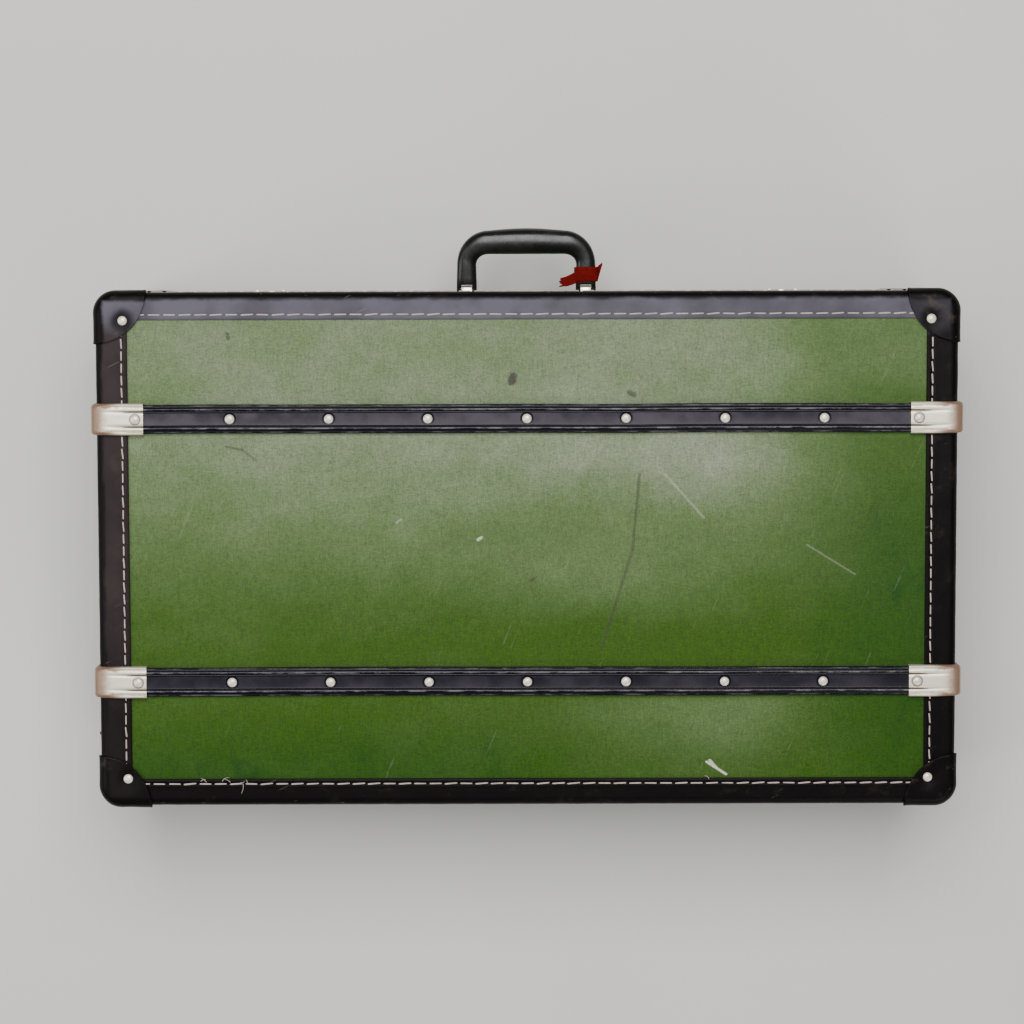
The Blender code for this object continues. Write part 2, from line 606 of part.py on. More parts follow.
def make_latch(side_name, side, surface):
    """Lock plate with ears and slide button on the base, hasp across the seam, catch on the lid."""
    x = side * LATCH_X
    foot = SIDE_WALL_Y + GAP
    pivot_y = SIDE_WALL_Y + HASP_LIFT
    pivot_z = SEAM_Z - HASP_PIVOT_BELOW_SEAM
    button_z = SEAM_Z - BUTTON_BELOW_SEAM
    long, deep, thick = LATCH_PLATE
    plate_high = SEAM_Z - LATCH_FROM_SEAM
    bm = bmesh.new()
    add_box(bm, (x - long / 2, foot, plate_high - deep), (x + long / 2, foot + thick, plate_high))
    plate = finish_mesh(f"latch_plate_{side_name}", bm, surface)
    ear_x = HASP_WIDTH / 2 + GAP
    ear_half = HASP_BARREL_RADIUS + GAP
    bm = bmesh.new()
    for hand in (-1, 1):
        near, far = sorted((x + hand * ear_x, x + hand * (ear_x + EAR_WALL)))
        add_box(bm, (near, foot + thick / 2, pivot_z - ear_half),
                (far, pivot_y + ear_half, pivot_z + ear_half))
    combine(plate, finish_mesh(f"{plate.name}_ears", bm, helper=True), "UNION")
    bm = bmesh.new()
    reach = ear_x + 2 * EAR_WALL
    add_cylinder(bm, (x - reach, pivot_y, pivot_z), (x + reach, pivot_y, pivot_z),
                 TRUNNION_HOLE_RADIUS, SHANK_SIDES)
    combine(plate, finish_mesh(f"{plate.name}_bores", bm, helper=True), "DIFFERENCE")
    stem_x, stem_z = BUTTON_STEM
    bm = bmesh.new()
    near, far = sorted((x - side * (stem_x / 2 + GAP), x + side * (stem_x / 2 + BUTTON_TRAVEL + GAP)))
    add_box(bm, (near, foot - GAP, button_z - stem_z / 2 - GAP),
            (far, foot + 2 * thick, button_z + stem_z / 2 + GAP))
    combine(plate, finish_mesh(f"{plate.name}_slot", bm, helper=True), "DIFFERENCE")

    bm = bmesh.new()
    half_x, half_z = BUTTON_SIZE[0] / 2, BUTTON_SIZE[1] / 2
    button_foot = foot + thick + GAP
    add_box(bm, (x - half_x, button_foot, button_z - half_z),
            (x + half_x, button_foot + BUTTON_SIZE[2], button_z + half_z))
    button = finish_mesh(f"latch_button_{side_name}", bm, surface)
    bm = bmesh.new()
    add_box(bm, (x - stem_x / 2, foot + GAP, button_z - stem_z / 2),
            (x + stem_x / 2, button_foot + BUTTON_SIZE[2] / 2, button_z + stem_z / 2))
    combine(button, finish_mesh(f"{button.name}_stem", bm, helper=True), "UNION")

    hasp_foot = pivot_y - HASP_WALL / 2
    post_low = SEAM_Z + CATCH_POST_FROM_SEAM - CATCH_POST[1] / 2
    post_high = post_low + CATCH_POST[1]
    bm = bmesh.new()
    add_box(bm, (x - HASP_WIDTH / 2, hasp_foot, pivot_z),
            (x + HASP_WIDTH / 2, hasp_foot + HASP_WALL, SEAM_Z + HASP_REACH))
    hasp = finish_mesh(f"latch_hasp_{side_name}", bm, surface)
    bm = bmesh.new()
    add_cylinder(bm, (x - HASP_WIDTH / 2, pivot_y, pivot_z), (x + HASP_WIDTH / 2, pivot_y, pivot_z),
                 HASP_BARREL_RADIUS, ROUND_SIDES)
    combine(hasp, finish_mesh(f"{hasp.name}_barrel", bm, helper=True), "UNION")
    bm = bmesh.new()
    trunnion = ear_x + EAR_WALL - GAP
    add_cylinder(bm, (x - trunnion, pivot_y, pivot_z), (x + trunnion, pivot_y, pivot_z),
                 TRUNNION_RADIUS, SHANK_SIDES)
    combine(hasp, finish_mesh(f"{hasp.name}_trunnions", bm, helper=True), "UNION")
    bm = bmesh.new()
    window = CATCH_POST[0] / 2 + HASP_WINDOW_CLEARANCE
    add_box(bm, (x - window, foot, post_low - HASP_WINDOW_CLEARANCE),
            (x + window, hasp_foot + 2 * HASP_WALL, post_high + HASP_WINDOW_CLEARANCE))
    combine(hasp, finish_mesh(f"{hasp.name}_window", bm, helper=True), "DIFFERENCE")

    long, deep, thick = CATCH_PLATE
    bm = bmesh.new()
    add_box(bm, (x - long / 2, foot, SEAM_Z + LATCH_FROM_SEAM),
            (x + long / 2, foot + thick, SEAM_Z + LATCH_FROM_SEAM + deep))
    catch = finish_mesh(f"latch_catch_{side_name}", bm, surface)
    bm = bmesh.new()
    add_box(bm, (x - CATCH_POST[0] / 2, foot + thick / 2, post_low),
            (x + CATCH_POST[0] / 2, foot + CATCH_POST[2], post_high))
    combine(catch, finish_mesh(f"{catch.name}_post", bm, helper=True), "UNION")
    return plate, button, hasp, catch


# ---- hinges on the front side ----

def add_leaf(bm, x, half, up):
    """A leaf plate that stops short of the knuckles at the seam."""
    clear = HINGE_BARREL_RADIUS + 2 * GAP
    high_y = -SIDE_WALL_Y - GAP
    low_y = high_y - HINGE_LEAF_WALL
    near, far = sorted((SEAM_Z + up * clear, SEAM_Z + up * HINGE_LEAF_DEPTH))
    add_box(bm, (x - half, low_y, near), (x + half, high_y, far))


def make_hinge(side_name, side, surface):
    """Two leaves whose knuckles share a pin on the seam."""
    x = side * HINGE_X
    half = HINGE_LENGTH / 2
    middle = HINGE_MIDDLE_KNUCKLE / 2
    leaves = (("base", -1, ((-half, -middle - GAP), (middle + GAP, half))),
              ("lid", 1, ((-middle, middle),)))
    high_y = -SIDE_WALL_Y - GAP
    made = []
    for name, up, knuckles in leaves:
        bm = bmesh.new()
        add_leaf(bm, x, half, up)
        leaf = finish_mesh(f"hinge_leaf_{name}_{side_name}", bm, surface)
        for number, (start, end) in enumerate(knuckles):
            bm = bmesh.new()
            near, far = sorted((SEAM_Z, SEAM_Z + up * (HINGE_BARREL_RADIUS + 5 * GAP)))
            add_box(bm, (x + start, high_y - HINGE_LEAF_WALL, near), (x + end, high_y, far))
            combine(leaf, finish_mesh(f"{leaf.name}_finger_{number}", bm, helper=True), "UNION")
            bm = bmesh.new()
            add_cylinder(bm, (x + start, HINGE_Y, SEAM_Z), (x + end, HINGE_Y, SEAM_Z),
                         HINGE_BARREL_RADIUS, ROUND_SIDES)
            combine(leaf, finish_mesh(f"{leaf.name}_knuckle_{number}", bm, helper=True), "UNION")
        bm = bmesh.new()
        add_cylinder(bm, (x - HINGE_LENGTH, HINGE_Y, SEAM_Z), (x + HINGE_LENGTH, HINGE_Y, SEAM_Z),
                     HINGE_HOLE_RADIUS, SHANK_SIDES)
        combine(leaf, finish_mesh(f"{leaf.name}_bore", bm, helper=True), "DIFFERENCE")
        made.append(leaf)
    bm = bmesh.new()
    add_cylinder(bm, (x - half, HINGE_Y, SEAM_Z), (x + half, HINGE_Y, SEAM_Z),
                 HINGE_PIN_RADIUS, SHANK_SIDES)
    made.append(finish_mesh(f"hinge_pin_{side_name}", bm, surface))
    return made


# ---- joints: an empty on each axis carries the pieces that move ----

def carry(name, x, y, z, pieces, parent=None):
    axis = bpy.data.objects.new(name, None)
    axis.location = (x / 1000, (y + ORIGIN_SHIFT_Y) / 1000, z / 1000)
    bpy.context.scene.collection.objects.link(axis)
    if parent is not None:
        axis.parent = parent
        axis.matrix_parent_inverse = Matrix.Translation(parent.location).inverted()
    for piece in pieces:
        piece.parent = axis
        piece.matrix_parent_inverse = Matrix.Translation(axis.location).inverted()
    return axis


def main():
    clear_scene()
    green = material("green_fibre", (0.10, 0.20, 0.05), 0.55)
    black = material("black_leather", (0.015, 0.012, 0.014), 0.4)
    moulded = material("black_moulded", (0.006, 0.006, 0.008), 0.2)
    metal = material("nickel", (0.78, 0.72, 0.66), 0.28, 1.0)
    paper = material("lining_paper", (0.55, 0.45, 0.32), 0.85)
    red = material("red_ribbon", (0.45, 0.01, 0.01), 0.7)

    make_half(BASE, green, black, metal, paper)
    lid_pieces = make_half(LID, green, black, metal, paper)
    make_tongue(metal)

    grip = make_handle(moulded)
    ribbon = make_ribbon(red)
    sides = (("left", -1), ("right", 1))
    for side_name, side in sides:
        make_bracket(side_name, side, metal)
        make_handle_pin(side_name, side, metal)

    for side_name, side in sides:
        _, button, hasp, catch = make_latch(side_name, side, metal)
        lid_pieces.append(catch)
        carry(f"latch_{side_name}_hasp_axis", side * LATCH_X, SIDE_WALL_Y + HASP_LIFT,
              SEAM_Z - HASP_PIVOT_BELOW_SEAM, [hasp])
        carry(f"latch_{side_name}_button_axis", side * LATCH_X, SIDE_WALL_Y + GAP,
              SEAM_Z - BUTTON_BELOW_SEAM, [button])
        _, lid_leaf, _ = make_hinge(side_name, side, metal)
        lid_pieces.append(lid_leaf)

    carry("handle_axis", 0, PIVOT_Y, HANDLE_Z, [grip, ribbon])
    carry("lid_hinge_axis", 0, HINGE_Y, SEAM_Z, lid_pieces)


main()
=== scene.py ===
"""Looks of the old fibre suitcase: faded green shells, stitched leather bindings, pressed corner
caps, ribbed slats in nickel shoes, domed rivets, moulded handle with a scrap of ribbon.

X runs along the width, +Y towards the handle and +Z up through the lid; lengths are in metres.
"""

import json
import math

import bmesh
import bpy
from bpy.props import FloatProperty, FloatVectorProperty, IntProperty, PointerProperty
from mathutils import Matrix, Vector, noise


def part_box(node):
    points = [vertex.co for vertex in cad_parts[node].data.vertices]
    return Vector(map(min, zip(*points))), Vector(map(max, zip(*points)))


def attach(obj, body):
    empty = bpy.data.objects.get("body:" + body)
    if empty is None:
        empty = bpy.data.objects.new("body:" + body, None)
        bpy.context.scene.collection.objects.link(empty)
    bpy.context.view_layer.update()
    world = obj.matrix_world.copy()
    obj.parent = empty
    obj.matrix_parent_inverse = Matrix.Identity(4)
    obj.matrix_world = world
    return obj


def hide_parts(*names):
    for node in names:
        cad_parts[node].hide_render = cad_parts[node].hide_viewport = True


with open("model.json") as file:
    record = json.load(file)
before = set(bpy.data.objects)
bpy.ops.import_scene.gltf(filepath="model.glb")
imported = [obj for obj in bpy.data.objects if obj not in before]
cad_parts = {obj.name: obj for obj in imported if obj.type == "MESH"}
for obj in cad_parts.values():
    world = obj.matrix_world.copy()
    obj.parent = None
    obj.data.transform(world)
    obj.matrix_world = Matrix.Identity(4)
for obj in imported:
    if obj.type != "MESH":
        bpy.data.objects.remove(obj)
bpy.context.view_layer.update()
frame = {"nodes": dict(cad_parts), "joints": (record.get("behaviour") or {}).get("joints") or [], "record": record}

bl_info = {
    "name": "Fibre suitcase",
    "version": (1, 0, 0),
    "blender": (4, 5, 0),
    "location": "View3D > Sidebar > Suitcase",
    "description": "Builds an old green fibre suitcase round its working frame",
    "category": "Add Mesh",
}

MM = 0.001
SEED = 7
CORNERS = (("front_left", -1, -1), ("front_right", 1, -1), ("rear_left", -1, 1), ("rear_right", 1, 1))
SIDES = (("left", -1), ("right", 1))
RIVET_PITCH = 86 * MM
RIVET_EDGE = 4 * MM
PLACES = ("front", "rear")

BINDING_LOW, BINDING_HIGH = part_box("lid_edge_binding")
HALF_X = (BINDING_HIGH.x - BINDING_LOW.x) / 2
HALF_Y = (BINDING_HIGH.y - BINDING_LOW.y) / 2
CENTRE_Y = (BINDING_HIGH.y + BINDING_LOW.y) / 2
BINDING_WIDTH = BINDING_HIGH.z - BINDING_LOW.z
SHELL_OFFSET = HALF_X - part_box("lid_shell")[1].x
LINING_OFFSET = HALF_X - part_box("lid_lining")[1].x
LINING_WALL = 1.2 * MM
CAP_LOW, CAP_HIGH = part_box("lid_corner_cap_rear_right")
CAP_PROUD = CAP_HIGH.x - HALF_X
CAP_REACH = CAP_HIGH.x - CAP_LOW.x + 0.6 * MM
SHOE_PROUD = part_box("lid_rear_slat_end_right")[1].z - BINDING_HIGH.z
SHOE_RIVET_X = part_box("lid_rear_slat_rivets")[1].x - RIVET_EDGE
HANDLE_PIVOT = Vector(next(joint["pos_m"] for joint in frame["joints"] if joint["name"] == "handle_swing"))
BODY_OF = {node: body for body, nodes in frame["record"]["behaviour"]["bodies"].items() for node in nodes}


class Half:
    """One half of the case; depth is measured inwards from its binding's face."""

    def __init__(self, name):
        low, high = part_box(f"{name}_edge_binding")
        shell_low, shell_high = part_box(f"{name}_shell")
        self.name = name
        self.out = 1.0 if name == "lid" else -1.0
        self.face_z = self.outer(low, high)
        self.rim_depth = abs(self.face_z - self.inner(shell_low, shell_high))

    def z(self, depth):
        return self.face_z - self.out * depth

    def outer(self, low, high):
        """Whichever of two corners' heights lies further out through this half's face."""
        return high.z if self.out > 0 else low.z

    def inner(self, low, high):
        return low.z if self.out > 0 else high.z


HALVES = (Half("lid"), Half("base"))


# ---- sizes and colours that a user may change ----

def length(label, about, default):
    return FloatProperty(name=label, description=about, default=default, unit="LENGTH", subtype="DISTANCE")


def color(label, about, default):
    return FloatVectorProperty(name=label, description=about, default=default, size=3, min=0, max=1,
                               subtype="COLOR")


class SuitcaseSizes(bpy.types.PropertyGroup):
    """Sizes of the fine shapes; the large ones come from the frame."""

    corner_radius: length("Corner radius", "Of the binding's outline, seen from above", 18 * MM)
    edge_radius: length("Edge radius", "Between a face and the side walls", 7 * MM)
    shell_wall: length("Shell wall", "Thickness of the fibre board", 4 * MM)
    panel_wave: length("Panel wave", "How far the broad faces are from flat", 0.3 * MM)
    binding_wall: length("Binding wall", "Thickness of the leather strip", 1.5 * MM)
    stitch_inset: length("Stitch inset", "From a stitch row to the strip's free edge", 5 * MM)
    stitch_groove: length("Stitch groove", "How deep the thread pulls the leather in", 0.45 * MM)
    thread_radius: length("Thread radius", "Of the sewing thread", 0.66 * MM)
    binding_long_width: length("Binding on long sides", "Width on the face along the long sides", 24 * MM)
    cap_wall: length("Cap wall", "Thickness of a corner cap", 1.5 * MM)
    cap_lip: length("Cap lip", "How far a cap's edge is rolled up", 0.35 * MM)
    cap_dimple: length("Cap dimple", "How deep its rivet pulls a cap in", 1.5 * MM)
    rivet_radius: length("Rivet radius", "Of a domed head", 4.1 * MM)
    rivet_height: length("Rivet height", "Of a domed head", 2.2 * MM)
    small_rivet_radius: length("Small rivet radius", "Of the rivets in locks and hinges", 1.7 * MM)
    shoe_wall: length("Shoe wall", "Thickness of the metal slat ends", 0.9 * MM)
    ribbon_width: length("Ribbon width", "Of the scrap tied round the handle", 13 * MM)
    stitches_long: IntProperty(name="Stitches, long side", description="Between two corners",
                               default=53, min=4)
    stitches_short: IntProperty(name="Stitches, short side", description="Between two corners",
                                default=39, min=4)


class SuitcaseColors(bpy.types.PropertyGroup):
    """Base colours of the finishes."""

    green_fresh: color("Fresh green", "Fibre that kept its colour", (0.032, 0.086, 0.001))
    green_worn: color("Worn green", "Fibre half way to bleached", (0.100, 0.157, 0.053))
    # Faded green is also the tone of the painted sheen over the upper face.
    green_faded: color("Faded green", "Fibre bleached by light and dust", (0.250, 0.288, 0.198))
    leather: color("Leather", "Binding and caps", (0.003, 0.002, 0.002))
    # Painted light: this brown tone on the left strip stands for light falling from the left.
    leather_lit_left: color("Brown leather", "Binding on the left, where the dye has thinned",
                         (0.036, 0.026, 0.026))
    # Painted sheen: this pale tone along the handle side stands for light glancing off the leather.
    leather_sheen: color("Faded leather", "Binding along the handle side", (0.118, 0.110, 0.138))
    slat: color("Slat", "Ribbed strips", (0.005, 0.004, 0.009))
    thread: color("Thread", "Sewing thread", (0.60, 0.50, 0.45))
    nickel: color("Nickel", "Plated metal", (0.96, 0.88, 0.74))
    tarnish: color("Tarnish", "Brown bloom on the plating", (0.16, 0.075, 0.035))
    handle: color("Handle", "Moulded grip", (0.002, 0.002, 0.002))
    ribbon: color("Ribbon", "Scrap of red cloth", (0.17, 0.001, 0.001))
    lining: color("Lining", "Paper inside", (0.56, 0.46, 0.32))
    floor: color("Floor", "Under the case", (0.78, 0.77, 0.75))


# ---- mesh helpers ----

def new_object(name, bm, surface):
    mesh = bpy.data.meshes.new(name)
    bm.to_mesh(mesh)
    bm.free()
    mesh.shade_smooth()
    obj = bpy.data.objects.new(name, mesh)
    bpy.context.scene.collection.objects.link(obj)
    mesh.materials.append(surface)
    return obj


def settled(obj):
    """Makes the evaluated shape the object's plain mesh and drops its modifiers."""
    graph = bpy.context.evaluated_depsgraph_get()
    mesh = bpy.data.meshes.new_from_object(obj.evaluated_get(graph), depsgraph=graph)
    old = obj.data
    obj.modifiers.clear()
    obj.data = mesh
    mesh.name = old.name
    bpy.data.meshes.remove(old)
    return obj


def place(obj, body, slot, *nodes):
    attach(obj, body)
    if nodes:
        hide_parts(*nodes)
    return obj


def add_rows(bm, rows, around=True, closed=False):
    """Bridges rows of points; around joins each row's ends, closed joins the last row to the first."""
    loops = [[bm.verts.new(point) for point in row] for row in rows]
    if closed:
        loops.append(loops[0])
    for lower, upper in zip(loops, loops[1:]):
        count = len(lower)
        for k in range(count if around else count - 1):
            nxt = (k + 1) % count
            bm.faces.new((lower[k], lower[nxt], upper[nxt], upper[k]))
    return loops


def add_capped(bm, rows):
    """A closed skin over rows of points, with a face over the first and the last row."""
    loops = add_rows(bm, rows)
    bm.faces.new(loops[0])
    bm.faces.new(loops[-1])


def capped(name, rows, surface):
    bm = bmesh.new()
    add_capped(bm, rows)
    bmesh.ops.recalc_face_normals(bm, faces=bm.faces)
    return new_object(name, bm, surface)


def turn_outwards(bm, middle):
    """Turns an open sheet so that its faces look away from a point."""
    bmesh.ops.remove_doubles(bm, verts=bm.verts, dist=0.01 * MM)
    bmesh.ops.recalc_face_normals(bm, faces=bm.faces)
    side = sum(face.normal.dot(face.calc_center_median() - middle) * face.calc_area() for face in bm.faces)
    if side < 0:
        bmesh.ops.reverse_faces(bm, faces=bm.faces)


def add_wall(obj, thickness):
    wall = obj.modifiers.new("wall", "SOLIDIFY")
    wall.thickness = thickness
    wall.offset = -1.0
    return settled(obj)


def rounded(obj, width, limit, sharp):
    """Rounds edges past a limit in degrees, and shades flat across those past a sharp angle."""
    soft = obj.modifiers.new("rounded", "BEVEL")
    soft.width = width
    soft.segments = 2
    soft.limit_method = "ANGLE"
    soft.angle_limit = math.radians(limit)
    settled(obj)
    obj.data.set_sharp_from_angle(angle=math.radians(sharp))
    return obj


def wobble(point, size, amount):
    """A smooth unevenness of up to about amount, with bumps of about size."""
    return amount * noise.noise(Vector(point) / size)


# ---- outlines and folded sections of the case ----

def ring(inset, cuts_x, cuts_y, corner_steps, long_inset=None):
    """(x, y, outward x, outward y) round the case at an inset, or another at its long sides."""
    radius = max(bpy.context.scene.suitcase_sizes.corner_radius - inset, 0.5 * MM)
    reach_x = HALF_X - inset - radius
    reach_y = HALF_Y - (inset if long_inset is None else long_inset) - radius
    corners = ((reach_x, reach_y, 0), (-reach_x, reach_y, 90),
               (-reach_x, -reach_y, 180), (reach_x, -reach_y, 270))
    points = []
    for number, (x, y, start) in enumerate(corners):
        for step in range(corner_steps + 1):
            turn = math.radians(start + 90 * step / corner_steps)
            out_x, out_y = math.cos(turn), math.sin(turn)
            points.append((x + radius * out_x, CENTRE_Y + y + radius * out_y, out_x, out_y))
        next_x, next_y, _ = corners[(number + 1) % 4]
        cuts = cuts_y if number % 2 else cuts_x
        for cut in range(1, cuts):
            share = cut / cuts
            points.append((x + (next_x - x) * share + radius * out_x,
                           CENTRE_Y + y + (next_y - y) * share + radius * out_y, out_x, out_y))
    return points


def fold_point(travel, wall_run, offset, radius):
    """(inset, depth, sideways, facewards) of the surface folded from a side wall onto a face."""
    arc_run = radius * math.pi / 2
    if travel < wall_run:
        return offset, offset + radius + wall_run - travel, 1.0, 0.0
    if travel < wall_run + arc_run:
        turn = (travel - wall_run) / radius
        return (offset + radius * (1 - math.cos(turn)), offset + radius * (1 - math.sin(turn)),
                math.cos(turn), math.sin(turn))
    return offset + radius + travel - wall_run - arc_run, offset, 0.0, 1.0


def fold(offset, reach, steps):
    """Points of a folded section from its edge on the wall to the start of the flat face."""
    radius = max(bpy.context.scene.suitcase_sizes.edge_radius - offset, 0.5 * MM)
    wall_run = reach - offset - radius
    arc_run = radius * math.pi / 2
    travels = [0.0] + [wall_run + arc_run * k / steps for k in range(steps + 1)]
    last = wall_run + arc_run - 1e-9
    return [fold_point(min(travel, last), wall_run, offset, radius) for travel in travels]


def loop_at(half, inset, depth, cuts, lift=None):
    """One row of points round the case; lift gives each point's distance out through the face."""
    row = []
    for x, y, _, _ in ring(inset, *cuts):
        raised = lift(x, y) if lift else 0.0
        row.append((x, y, half.z(depth) + half.out * raised))
    return row


TRAY_CUTS = (60, 36, 8)
FACE_STEP = 9 * MM


def make_tray(name, half, offset, wall, reach, wave, surface):
    """An open tray: the wall outside, the broad face in rings, and the inner surface."""
    outside = fold(offset, reach, 6)
    inside = fold(offset + wall, reach, 4)

    def lift(x, y):
        return wobble((x, y, half.face_z), 0.11, wave) + wobble((x, y, 1.0), 0.03, wave * 0.25)

    rows = [loop_at(half, inset, depth, TRAY_CUTS) for inset, depth, _, _ in inside[::-1] + outside]
    inset = offset + 2 * FACE_STEP
    while inset < HALF_Y - FACE_STEP / 2:
        rows.append(loop_at(half, inset, offset, TRAY_CUTS, lift))
        inset += FACE_STEP
    obj = capped(name, rows, surface)
    obj.data.set_sharp_from_angle(angle=math.radians(40))
    return obj


def long_side_inset(inset):
    """The binding narrows along the long sides; this maps an inset on its face to the one there."""
    sizes = bpy.context.scene.suitcase_sizes
    share = min(max((inset - sizes.edge_radius) / (BINDING_WIDTH - sizes.edge_radius), 0.0), 1.0)
    return inset - (BINDING_WIDTH - sizes.binding_long_width) * share * share * (3 - 2 * share)


EDGE_FALL, EDGE_ROUNDING = 0.6 * MM, 0.7 * MM
SEAM_SPREAD, BINDING_SWELL = 1.3 * MM, 0.15 * MM


def binding_rows(half):
    """The strip's section at every column: puckered by both stitch rows, rounded at its free edges."""
    sizes = bpy.context.scene.suitcase_sizes
    cuts = (sizes.stitches_long * 4, sizes.stitches_short * 4, 8)
    radius = sizes.edge_radius
    wall_run = BINDING_WIDTH - radius
    total = 2 * wall_run + radius * math.pi / 2
    step, first_step = 1.25 * MM, 0.35 * MM
    travels = [0.0, first_step]
    travels += [k * step for k in range(1, int(total / step))] + [total - first_step, total]
    seams = (sizes.stitch_inset, total - sizes.stitch_inset)
    rows = []
    for travel in travels:
        inset, depth, sideways, facewards = fold_point(travel, wall_run, 0.0, radius)
        edge = min(travel, total - travel)
        fall = EDGE_FALL * max(0.0, 1 - edge / EDGE_ROUNDING) ** 2
        pull = sum(math.exp(-((travel - seam) / SEAM_SPREAD) ** 2) for seam in seams)
        swell = math.sin(math.pi * min(1.0, edge / (2 * sizes.stitch_inset))) * BINDING_SWELL
        row = []
        for number, (x, y, out_x, out_y) in enumerate(ring(inset, *cuts, long_side_inset(inset))):
            hole = 0.5 + 0.5 * math.cos(math.pi / 2 * stitch_phase(number, cuts))
            shift = swell - fall - pull * sizes.stitch_groove * (0.6 + 0.6 * hole)
            shift += wobble((x, y, half.z(depth)), 0.012, 0.16 * MM) * min(1.0, edge / (3 * MM))
            row.append((x + out_x * sideways * shift, y + out_y * sideways * shift,
                        half.z(depth) + half.out * facewards * shift))
        rows.append(row)
    under = fold(sizes.binding_wall, BINDING_WIDTH, 4)
    rows.append(loop_at(half, BINDING_WIDTH, sizes.binding_wall, (*cuts, sizes.binding_long_width)))
    rows += [loop_at(half, inset, depth, cuts) for inset, depth, _, _ in under[::-1]]
    return rows


def stitch_phase(column, cuts):
    """Columns past the last needle hole, four to a stitch; corners count as between holes."""
    cuts_x, cuts_y, corner_steps = cuts
    per_side = [corner_steps + cuts_x, corner_steps + cuts_y] * 2
    for columns in per_side:
        if column < columns:
            break
        column -= columns
    return (column - corner_steps) % 4 if column >= corner_steps else 2


# ---- geometry nodes: one tree repeats an item at points, the other along lines ----

def tree_node(tree, kind, inputs=None, **settings):
    """Adds a node; inputs maps a socket's name or number to a number, a socket or a Value."""
    made = tree.nodes.new(kind)
    for name, value in settings.items():
        setattr(made, name, value)
    for key, value in (inputs or {}).items():
        set_input(tree, made.inputs[key], value)
    return made


def set_input(tree, socket, value):
    value = getattr(value, "socket", value)
    if isinstance(value, bpy.types.NodeSocket):
        tree.links.new(value, socket)
    else:
        socket.default_value = value


def repeat_tree(name, along_lines):
    """Instances an item on points, or every pitch along lines, standing on the stored up direction."""
    tree = bpy.data.node_groups.new(name, "GeometryNodeTree")
    tree.is_modifier = True
    for label, kind in (("Geometry", "Geometry"), ("Item", "Object"), ("Pitch", "Float"), ("Turn", "Float"),
                        ("Size Spread", "Float"), ("Seed", "Int"), ("Material", "Material")):
        tree.interface.new_socket(label, in_out="INPUT", socket_type=f"NodeSocket{kind}")
    tree.interface.new_socket("Geometry", in_out="OUTPUT", socket_type="NodeSocketGeometry")
    given = tree_node(tree, "NodeGroupInput").outputs
    points = given["Geometry"]
    up = tree_node(tree, "GeometryNodeInputNamedAttribute", {"Name": "up"}, data_type="FLOAT_VECTOR")
    stand = tree_node(tree, "FunctionNodeAlignRotationToVector", {"Vector": up.outputs["Attribute"]},
                      axis="Z")
    turned = stand.outputs["Rotation"]
    if along_lines:
        curve = tree_node(tree, "GeometryNodeMeshToCurve", {"Mesh": points})
        spaced = tree_node(tree, "GeometryNodeResampleCurve", {"Curve": curve.outputs["Curve"],
                           "Length": given["Pitch"]}, mode="LENGTH")
        points = spaced.outputs["Curve"]
        tangent = tree_node(tree, "GeometryNodeInputTangent")
        lie = tree_node(tree, "FunctionNodeAlignRotationToVector",
                        {"Rotation": turned, "Vector": tangent.outputs["Tangent"]}, axis="X", pivot_axis="Z")
        turned = lie.outputs["Rotation"]
    low = tree_node(tree, "ShaderNodeMath", {0: given["Turn"], 1: -1.0}, operation="MULTIPLY")
    spin = tree_node(tree, "FunctionNodeRandomValue", {2: low.outputs[0], 3: given["Turn"],
                     "Seed": given["Seed"]}, data_type="FLOAT")
    angle = tree_node(tree, "ShaderNodeCombineXYZ", {"Z": spin.outputs[1]})
    extra = tree_node(tree, "FunctionNodeEulerToRotation", {"Euler": angle.outputs[0]})
    final = tree_node(tree, "FunctionNodeRotateRotation", {"Rotation": turned,
                      "Rotate By": extra.outputs["Rotation"]}, rotation_space="LOCAL")
    small = tree_node(tree, "ShaderNodeMath", {0: 1.0, 1: given["Size Spread"]}, operation="SUBTRACT")
    large = tree_node(tree, "ShaderNodeMath", {0: 1.0, 1: given["Size Spread"]}, operation="ADD")
    size = tree_node(tree, "FunctionNodeRandomValue", {2: small.outputs[0], 3: large.outputs[0],
                     "Seed": given["Seed"]}, data_type="FLOAT")
    item = tree_node(tree, "GeometryNodeObjectInfo", {"Object": given["Item"]})
    copies = tree_node(tree, "GeometryNodeInstanceOnPoints", {"Points": points,
                       "Instance": item.outputs["Geometry"], "Rotation": final.outputs["Rotation"],
                       "Scale": size.outputs[1]})
    real = tree_node(tree, "GeometryNodeRealizeInstances", {"Geometry": copies.outputs["Instances"]})
    dressed = tree_node(tree, "GeometryNodeSetMaterial", {"Geometry": real.outputs["Geometry"],
                        "Material": given["Material"]})
    tree_node(tree, "NodeGroupOutput", {0: dressed.outputs["Geometry"]})
    return tree


def repeat_item(name, tree_name, guide, item, surface, pitch=1.0, turn=0.0, spread=0.0):
    """Runs a repeat tree on a guide mesh of (point, up) rows or lines, and keeps the plain mesh."""
    along_lines = isinstance(guide[0], list)
    bm = bmesh.new()
    up_layer = bm.verts.layers.float_vector.new("up")
    for row in guide if along_lines else [[row] for row in guide]:
        verts = []
        for point, up in row:
            vert = bm.verts.new(point)
            vert[up_layer] = up
            verts.append(vert)
        for first, second in zip(verts, verts[1:]):
            bm.edges.new((first, second))
    obj = new_object(name, bm, surface)
    tree = bpy.data.node_groups.get(tree_name) or repeat_tree(tree_name, along_lines)
    modifier = obj.modifiers.new("repeat", "NODES")
    modifier.node_group = tree
    values = {"Item": item, "Pitch": pitch, "Turn": turn, "Size Spread": spread, "Seed": SEED,
              "Material": surface}
    for socket in tree.interface.items_tree:
        if socket.in_out == "INPUT" and socket.name in values:
            modifier[socket.identifier] = values[socket.name]
    settled(obj)
    if not obj.data.polygons:
        raise RuntimeError(f"{name} came out empty")
    return obj


